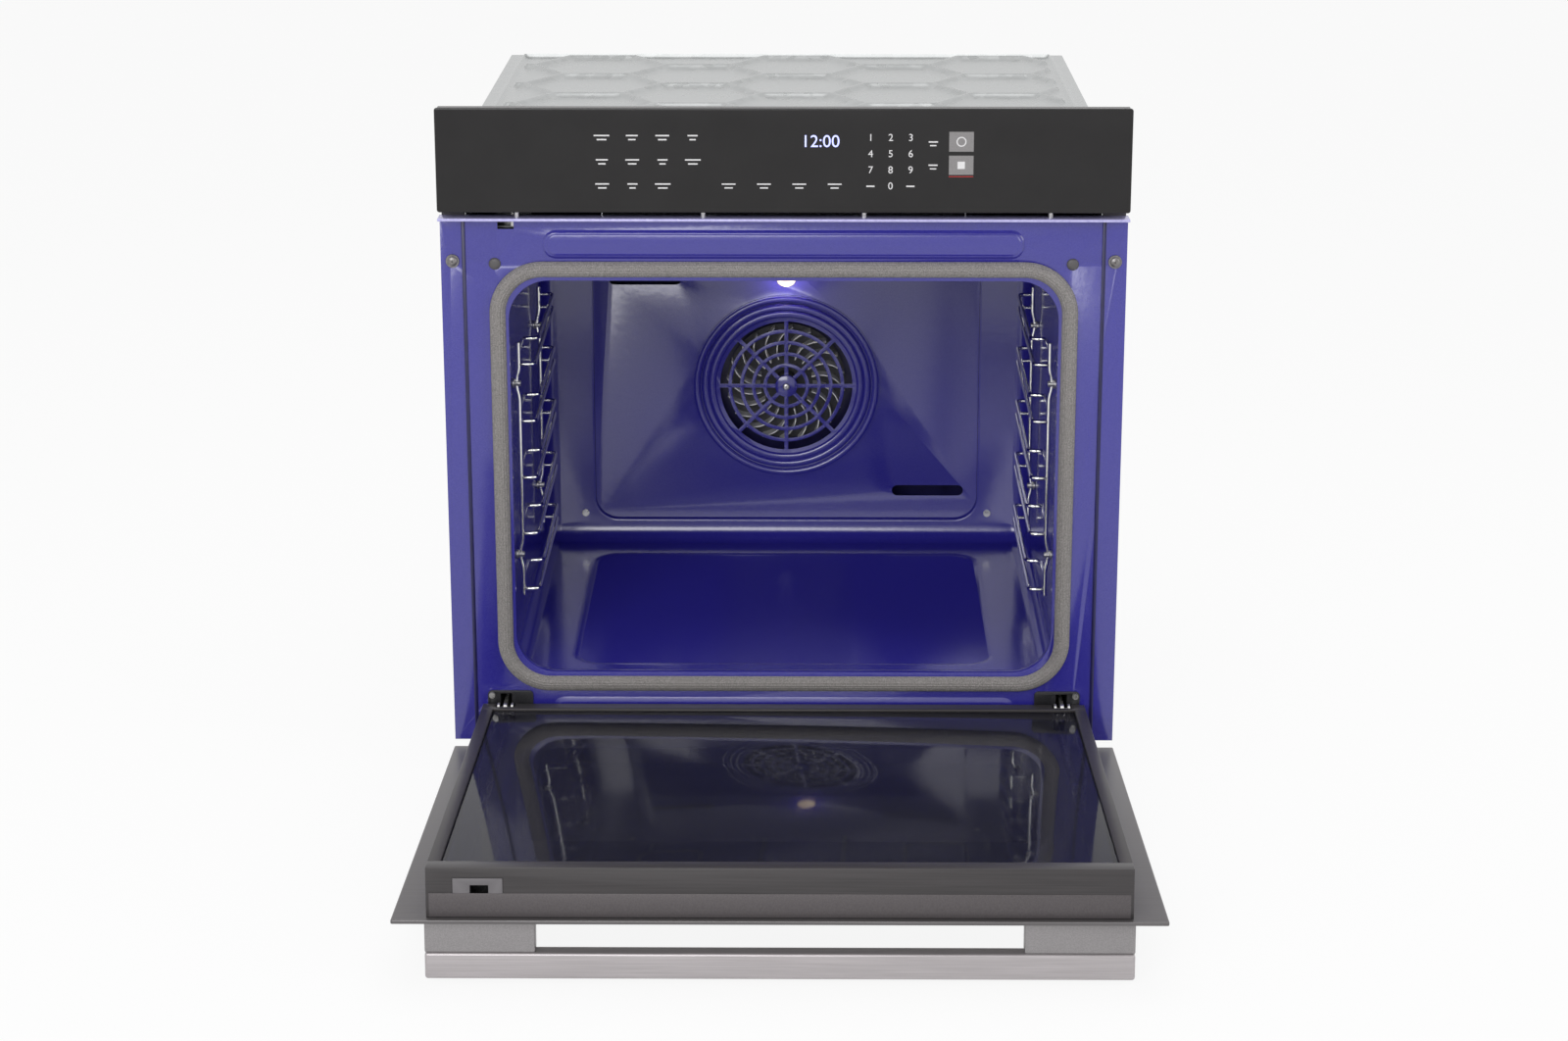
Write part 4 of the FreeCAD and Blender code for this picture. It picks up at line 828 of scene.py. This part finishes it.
@dataclass
class FrontFrame:
    """Enamelled frame round the mouth, with its ribs, fixing screws and plugs."""

    rib_half: float = 262.0
    lower_rib: tuple[float, float] = (9.0, 34.0)
    upper_rib: tuple[float, float] = (554.0, 580.0)
    face: float = -1.0
    screw_x: float = 365.0
    screw_z: float = 548.0
    plug_x: float = 318.5
    plug_z: float = 545.0
    fold_x: float = 350.5
    roll: float = 3.2
    rib_proud: tuple[float, float] = (3.6, 1.6)
    roll_steps: int = 6
    fold_wide: float = 4.0
    fold_front: float = -2.4
    fold_ends: tuple[float, float] = (-14.0, 596.0)
    washer_profile: Profile = ((0.0, 0.0), (7.6, 0.0), (7.6, -0.9), (7.2, -1.3), (0.0, -1.3))
    plug_profile: Profile = ((0.0, 0.0), (6.7, 0.0), (6.6, -0.8), (5.4, -1.9), (3.0, -2.3),
                             (0.0, -2.4))

    def ribs(self) -> None:
        """Model the pressed ribs above and below the mouth, with rolled edges."""
        for name, (low, high), proud in (("upper", self.upper_rib, self.rib_proud[0]),
                                         ("lower", self.lower_rib, self.rib_proud[1])):
            ring = Ring(self.rib_half, low, high, self.face + 0.1, (high - low) / 2 - 1.0)
            rings = [ring.grown(self.roll, self.face + 0.1)]
            for step in range(self.roll_steps + 1):
                turn = math.pi * step / self.roll_steps
                rings.append(ring.grown(self.roll * math.cos(turn * 0.9),
                                        self.face - proud * (1 - math.cos(turn)) / 2))
            bm = bmesh.new()
            bridge(bm, rings, close=(0, len(rings) - 1))
            bmesh.ops.recalc_face_normals(bm, faces=bm.faces)
            add_piece(f"frame_rib_{name}", bm, ENAMEL, smooth=60.0)

    def steps(self) -> None:
        """Model the step that runs down each side of the face, its enamel darkened as painted shade."""
        bm = bmesh.new()
        for _, sign in SIDES:
            x = sorted((sign * self.fold_x * MM, sign * (self.fold_x + self.fold_wide) * MM))
            block(bm, (x[0], x[1]), (self.fold_front * MM, self.face * MM),
                  (self.fold_ends[0] * MM, self.fold_ends[1] * MM), 0.9 * MM)
        # The steps' enamel is darkened as painted shade.
        add_piece("frame_steps", bm, PAINTED_SHADE, smooth=50.0)

    def fixings(self) -> None:
        """Model the screws with their washers, and the domed plugs."""
        bm = bmesh.new()
        for _, sign in SIDES:
            washer = Vector((sign * self.screw_x, self.face, self.screw_z)) * MM
            turned_shape(bm, [(r * MM, d * MM) for r, d in self.washer_profile], washer, DEPTH, 28)
            pan_screw(bm, sign * self.screw_x, self.face - 1.2, self.screw_z, 5.6, 3.2)
        add_piece("cabinet_screw_heads", bm, SCREW, nodes=["cabinet_screws"], smooth=45.0)
        bm = bmesh.new()
        for _, sign in SIDES:
            place = Vector((sign * self.plug_x, self.face, self.plug_z)) * MM
            turned_shape(bm, [(r * MM, d * MM) for r, d in self.plug_profile], place, DEPTH, 28)
        add_piece("frame_plug_caps", bm, HOUSING, nodes=["frame_plugs"], smooth=60.0)

    def build(self) -> None:
        """Make the frame's pieces."""
        softened("front_frame", ENAMEL, 0.35 * MM, angle=50.0)
        self.ribs()
        self.steps()
        self.fixings()


@dataclass
class ControlPanel:
    """Glass control panel: its glass, printed keys and clock, housing and vent strip."""

    face: float = -24.0
    ink: float = 0.12
    letter_share: float = 1.35
    label_wide: tuple[float, ...] = (17.0, 13.0, 15.0, 11.0)
    second_share: float = 0.62
    label_drop: float = 2.2
    bar: float = 1.5
    label_x: float = -197.0
    label_step: float = 32.9
    labels: int = 4
    rows: tuple[float, float, float] = (690.0, 663.4, 636.8)
    function_x: float = -59.6
    function_step: float = 38.4
    clock_x: float = 40.2
    clock_z: float = 685.6
    clock_tall: float = 14.0
    key_x: float = 94.5
    key_step: float = 21.7
    key_rows: tuple[float, float, float, float] = (690.0, 672.3, 654.5, 636.8)
    side_x: float = 162.2
    side_rows: tuple[float, float] = (685.6, 660.1)
    box_x: tuple[float, float] = (179.4, 206.0)
    boxes: tuple[tuple[float, float], ...] = ((675.0, 696.7), (649.5, 670.6))
    digit_tall: float = 8.2
    filler_x: tuple[float, float] = (350.3, 375.5)
    filler_y: tuple[float, float] = (-1.5, 8.0)
    filler_z: tuple[float, float] = (597.3, 608.2)

    def glyphs(self, name: str, words: Sequence[tuple[str, float, float, float]],
               finish: Finish) -> None:
        """Set digits on the glass.

        Args:
            name: The piece's name.
            words: Text, place across, height and letter height, in millimetres.
            finish: The print's finish.
        """
        bm = bmesh.new()
        for text, x, z, tall in words:
            curve = bpy.data.curves.new(name + "_text", "FONT")
            curve.body = text
            curve.align_x = "CENTER"
            curve.align_y = "CENTER"
            curve.size = tall * self.letter_share * MM
            curve.extrude = self.ink / 2 * MM
            holder = bpy.data.objects.new(name + "_text", curve)
            bpy.context.scene.collection.objects.link(holder)
            mesh = bpy.data.meshes.new_from_object(holder)
            place = Vector((x, self.face - self.ink / 2, z)) * MM
            mesh.transform(Matrix.Translation(place) @ Matrix.Rotation(math.pi / 2, 4, "X"))
            bm.from_mesh(mesh)
            bpy.data.objects.remove(holder)
            bpy.data.meshes.remove(mesh)
        bmesh.ops.remove_doubles(bm, verts=bm.verts, dist=0.001 * MM)
        add_piece(name, bm, finish)

    def mark(self, bm: bmesh.types.BMesh, x: float, z: float, wide: float, tall: float,
             ease: float = 0.0) -> None:
        """Print a small bar centred at a place on the glass."""
        block(bm, ((x - wide / 2) * MM, (x + wide / 2) * MM),
              ((self.face - self.ink) * MM, self.face * MM),
              ((z - tall / 2) * MM, (z + tall / 2) * MM), ease)

    def marks(self) -> None:
        """Print plain bars where the functions are, lay the grey keys and print the red line under the
        lower one.
        """
        bm = bmesh.new()
        for column in range(self.labels):
            for row, z in enumerate(self.rows):
                if row == 2 and column == self.labels - 1:
                    continue
                x = self.label_x + self.label_step * column
                wide = self.label_wide[(column + row) % len(self.label_wide)]
                self.mark(bm, x, z + self.label_drop, wide, self.bar)
                self.mark(bm, x, z - self.label_drop, wide * self.second_share, self.bar)
        for column in range(4):
            x = self.function_x + self.function_step * column
            self.mark(bm, x, self.rows[2] + 2.2, 15.0, 1.4)
            self.mark(bm, x, self.rows[2] - 2.0, 9.0, 1.4)
        for x in (self.key_x, self.key_x + 2 * self.key_step):
            self.mark(bm, x, self.key_rows[3], 9.0, 1.6)
        for z in self.side_rows:
            self.mark(bm, self.side_x, z, 10.0, 1.5)
            self.mark(bm, self.side_x, z - 4.0, 7.0, 1.3)
        add_piece("panel_marks", bm, PRINT)
        bm = bmesh.new()
        for low, high in self.boxes:
            self.mark(bm, sum(self.box_x) / 2, (low + high) / 2, self.box_x[1] - self.box_x[0],
                      high - low)
        add_piece("panel_keys", bm, KEY)
        bm = bmesh.new()
        middle = sum(self.box_x) / 2
        self.mark(bm, middle, self.boxes[1][0] - 2.0, self.box_x[1] - self.box_x[0], 0.9)
        add_piece("panel_line", bm, RED)

    def key_signs(self) -> None:
        """Print a ring on the upper grey key and a square on the lower one."""
        bm = bmesh.new()
        middle = sum(self.box_x) / 2
        depth = self.face - self.ink
        centre = Vector((middle, depth, sum(self.boxes[0]) / 2)) * MM
        arc = [(5.4, 0.0), (5.4, -0.1), (4.2, -0.1), (4.2, 0.0)]
        verts = [bm.verts.new(centre + Vector((r, d, 0.0)) * MM) for r, d in arc]
        edges = [bm.edges.new(pair) for pair in zip(verts, verts[1:] + verts[:1])]
        bmesh.ops.spin(bm, geom=verts + edges, cent=centre, axis=(0, 1, 0), angle=math.tau,
                       steps=32, use_merge=True, use_duplicate=False)
        bmesh.ops.recalc_face_normals(bm, faces=bm.faces)
        low = sum(self.boxes[1]) / 2
        block(bm, ((middle - 4) * MM, (middle + 4) * MM), ((depth - 0.1) * MM, depth * MM),
              ((low - 4) * MM, (low + 4) * MM), 0.0)
        add_piece("key_signs", bm, PRINT)

    def fillers(self) -> None:
        """Close the gap under both ends of the panel with dark strips."""
        bm = bmesh.new()
        for _, sign in SIDES:
            ends = sorted((sign * self.filler_x[0] * MM, sign * self.filler_x[1] * MM))
            block(bm, (ends[0], ends[1]), (self.filler_y[0] * MM, self.filler_y[1] * MM),
                  (self.filler_z[0] * MM, self.filler_z[1] * MM), 0.2 * MM)
        add_piece("panel_fillers", bm, DARK)

    def build(self) -> None:
        """Make the panel's pieces."""
        self.fillers()
        softened("control_glass", PANEL, 1.2 * MM, segments=3)
        softened("control_housing", HOUSING, 0.5 * MM)
        softened("vent_strip", STRIP, 0.5 * MM)
        digits = [(str(3 * row + column + 1), self.key_x + self.key_step * column, z,
                   self.digit_tall)
                  for row, z in enumerate(self.key_rows[:3]) for column in range(3)]
        digits.append(("0", self.key_x + self.key_step, self.key_rows[3], self.digit_tall))
        self.glyphs("keypad_digits", digits, PRINT)
        self.glyphs("clock_digits", [("12:00", self.clock_x, self.clock_z, self.clock_tall)],
                    DIGIT)
        self.marks()
        self.key_signs()


@dataclass
class Door:
    """Drop-down door: skin, rails, trims, glass, strike and handle."""

    pivot: tuple[float, float, float] = (0.0, -13.0, 26.4)
    open_angle: float = 85.7
    top: float = 582.6
    ledge_half: float = 341.0
    ledge_y: tuple[float, float] = (-58.0, -34.0)
    ledge_tall: float = 0.4

    def ledge(self) -> None:
        """Model the paler ledge along the front half of the door's top trim."""
        bm = bmesh.new()
        block(bm, (-self.ledge_half * MM, self.ledge_half * MM),
              (self.ledge_y[0] * MM, self.ledge_y[1] * MM),
              (self.top * MM, (self.top + self.ledge_tall) * MM), 0.15 * MM)
        bm.transform(self.lowered())
        add_piece("trim_ledge", bm, LEDGE, "door")

    def lowered(self) -> Matrix:
        """The turn about the hinge that lowers a piece drawn on the shut door."""
        pivot = Vector(self.pivot) * MM
        turn = Matrix.Rotation(math.radians(self.open_angle), 4, "X")
        return Matrix.Translation(pivot) @ turn @ Matrix.Translation(-pivot)

    def build(self) -> None:
        """Ease the door's edges and finish its faces."""
        self.ledge()
        for node, finish, width, segments in (
                ("door_skin", SKIN, 0.9, 3), ("side_rails", TRIM, 0.5, 2),
                ("top_trim", TRIM, 0.5, 2), ("bottom_trim", TRIM, 0.5, 2),
                ("strike_plate", STRIKE, 0.5, 2), ("inner_glass", GLASS, 0.8, 3),
                ("handle_bar", SATIN, 3.0, 4), ("handle_posts", POST, 1.5, 3)):
            softened(node, finish, width * MM, "door", segments)


@dataclass
class Hinges:
    """Door hinges: bracket plates on the frame, arms and locking bails."""

    def build(self) -> None:
        """Ease the hinges' edges and finish them."""
        softened("hinge_brackets", BLACK, 0.6 * MM)
        softened("hinge_arms", ZINC, 0.5 * MM)
        for side, _ in SIDES:
            softened(f"hinge_bail_{side}", CHROME, 0.3 * MM, f"bail_{side}", angle=60.0)


@dataclass
class InnerWorks:
    """Finishes for the frame's pieces that need no other shape."""

    def slots(self) -> dict[str, Finish]:
        """Which finish each of the record's material slots takes."""
        return {"enamel": ENAMEL, "galvanised": GALVANISED, "wool": WOOL, "gasket": SEAL,
                "chrome_wire": CHROME, "heater_tube": HEATER, "lamp_glass": LAMP,
                "bright_steel": ZINC, "motor_steel": MOTOR, "dark_plastic": DARK,
                "panel_glass": PANEL, "display": DARK, "vent_trim": STRIP,
                "bracket_black": BLACK, "door_grey": SKIN, "trim_black": TRIM,
                "strike_grey": STRIKE, "door_glass": GLASS, "handle_satin": SATIN}

    def build(self, frame: dict) -> None:
        """Give every frame piece its finish.

        Args:
            frame: The loaded frame.
        """
        finishes = self.slots()
        slot_of = {part["node"]: part["material_slot"] for part in frame["record"]["subparts"]}
        for name, node in frame["nodes"].items():
            finish = DOOR_MAT if name == "door_wool" else finishes[slot_of[name]]
            node.data.materials.clear()
            node.data.materials.append(finish.material())


@dataclass
class Studio:
    """Camera, soft lamps, pale floor and white surroundings."""

    camera_place: tuple[float, float, float] = (0.0227, -3.3571, 1.2978)
    pitch: float = 15.91
    yaw: float = 0.38
    lens: float = 71.55
    shift: float = -0.05
    floor: float = -0.0545
    room: float = 0.5
    floor_half: float = 12.0
    floor_share: float = 0.9
    bulb_place: tuple[float, float, float] = (0.0, 0.49, 0.413)
    bulb_power: float = 0.12
    bulb_radius: float = 0.006

    def camera(self) -> None:
        """Place the camera in front of the oven, a little above its top."""
        data = bpy.data.cameras.new("camera")
        data.lens = self.lens
        data.shift_y = self.shift
        made = bpy.data.objects.new("camera", data)
        made.location = self.camera_place
        made.rotation_euler = (math.radians(90 - self.pitch), 0.0, math.radians(self.yaw))
        bpy.context.scene.collection.objects.link(made)
        bpy.context.scene.camera = made

    def lamp(self, name: str, place: tuple[float, float, float], target: tuple[float, float, float],
             size: tuple[float, float], power: float,
             colour: tuple[float, float, float] = (1.0, 1.0, 1.0)) -> None:
        """Hang a soft rectangular lamp that faces a target."""
        data = bpy.data.lights.new(name, "AREA")
        data.shape = "RECTANGLE"
        data.size, data.size_y = size
        data.energy = power
        data.color = colour
        made = bpy.data.objects.new(name, data)
        made.location = place
        aim = Vector(target) - Vector(place)
        made.rotation_euler = aim.to_track_quat("-Z", "Y").to_euler()
        bpy.context.scene.collection.objects.link(made)

    def seen(self, tree: bpy.types.NodeTree) -> bpy.types.NodeSocket:
        """Add nodes that say whether a ray comes from the camera, a gloss or a glass.

        Args:
            tree: The node tree that takes the nodes.

        Returns:
            The socket that is one for such rays and nought for the others.
        """
        path = tree.nodes.new("ShaderNodeLightPath")
        total = path.outputs["Is Camera Ray"]
        for name in ("Is Glossy Ray", "Is Transmission Ray"):
            join = tree.nodes.new("ShaderNodeMath")
            join.operation = "MAXIMUM"
            tree.links.new(total, join.inputs[0])
            tree.links.new(path.outputs[name], join.inputs[1])
            total = join.outputs[0]
        return total

    def surroundings(self) -> None:
        """Make the world white to the eye and plain grey as a light."""
        world = bpy.data.worlds.new("studio")
        world.use_nodes = True
        bpy.context.scene.world = world
        tree = world.node_tree
        background = tree.nodes["Background"]
        strength = tree.nodes.new("ShaderNodeMapRange")
        strength.inputs["To Min"].default_value = self.room
        strength.inputs["To Max"].default_value = 1.0
        tree.links.new(self.seen(tree), strength.inputs["Value"])
        tree.links.new(strength.outputs["Result"], background.inputs["Strength"])
        background.inputs["Color"].default_value = (1.0, 1.0, 1.0, 1.0)

    def ground(self) -> None:
        """Lay the pale floor under the lowered door."""
        bm = bmesh.new()
        bmesh.ops.create_grid(bm, x_segments=1, y_segments=1, size=self.floor_half,
                              matrix=Matrix.Translation((0.0, 0.0, self.floor)))
        mesh = bpy.data.meshes.new("floor")
        bm.to_mesh(mesh)
        bm.free()
        plane = bpy.data.objects.new("floor", mesh)
        bpy.context.scene.collection.objects.link(plane)
        pale = bpy.data.materials.new("pale_floor")
        pale.use_nodes = True
        tree = pale.node_tree
        shader = tree.nodes["Principled BSDF"]
        shader.inputs["Base Color"].default_value = (0.82, 0.82, 0.82, 1.0)
        shader.inputs["Roughness"].default_value = 0.7
        glow = tree.nodes.new("ShaderNodeEmission")
        glow.inputs["Color"].default_value = (1.0, 1.0, 1.0, 1.0)
        glow.inputs["Strength"].default_value = 1.0
        blend = tree.nodes.new("ShaderNodeMixShader")
        share = tree.nodes.new("ShaderNodeMath")
        share.operation = "MULTIPLY"
        share.inputs[1].default_value = self.floor_share
        tree.links.new(self.seen(tree), share.inputs[0])
        tree.links.new(share.outputs[0], blend.inputs[0])
        tree.links.new(shader.outputs[0], blend.inputs[1])
        tree.links.new(glow.outputs[0], blend.inputs[2])
        tree.links.new(blend.outputs[0], tree.nodes["Material Output"].inputs["Surface"])
        mesh.materials.append(pale)

    def build(self) -> None:
        """Set the studio up."""
        bpy.context.scene.view_settings.view_transform = "Standard"
        self.surroundings()
        self.ground()
        self.lamp("overhead", (0.0, 0.2, 2.6), (0.0, 0.2, 0.0), (2.6, 2.2), 26.0)
        self.lamp("front", (-0.9, -3.4, 1.7), (0.0, 0.0, 0.3), (2.4, 1.6), 56.0)
        self.lamp("side", (2.8, -1.6, 1.6), (0.0, 0.0, 0.3), (1.4, 1.8), 16.0)
        self.bulb()

    def bulb(self) -> None:
        """Light the cavity faintly from the oven lamp's place."""
        glow = bpy.data.lights.new("oven_light", "POINT")
        glow.energy = self.bulb_power
        glow.color = (1.0, 0.84, 0.70)
        glow.shadow_soft_size = self.bulb_radius
        bulb = bpy.data.objects.new("oven_light", glow)
        bulb.location = self.bulb_place
        bulb.visible_glossy = False
        bpy.context.scene.collection.objects.link(bulb)


def main() -> None:
    """Build the oven's looks round its frame."""
    logging.basicConfig(level=logging.INFO, format="%(name)s: %(message)s")
    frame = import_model()
    Studio().camera()
    InnerWorks().build(frame)
    for assembly in (Cavity(), FanCover(), Seal(), RackGuides(), Casing(), FrontFrame(),
                     ControlPanel(), Door(), Hinges(), Studio()):
        assembly.build()


if __name__ == "__main__":
    main()
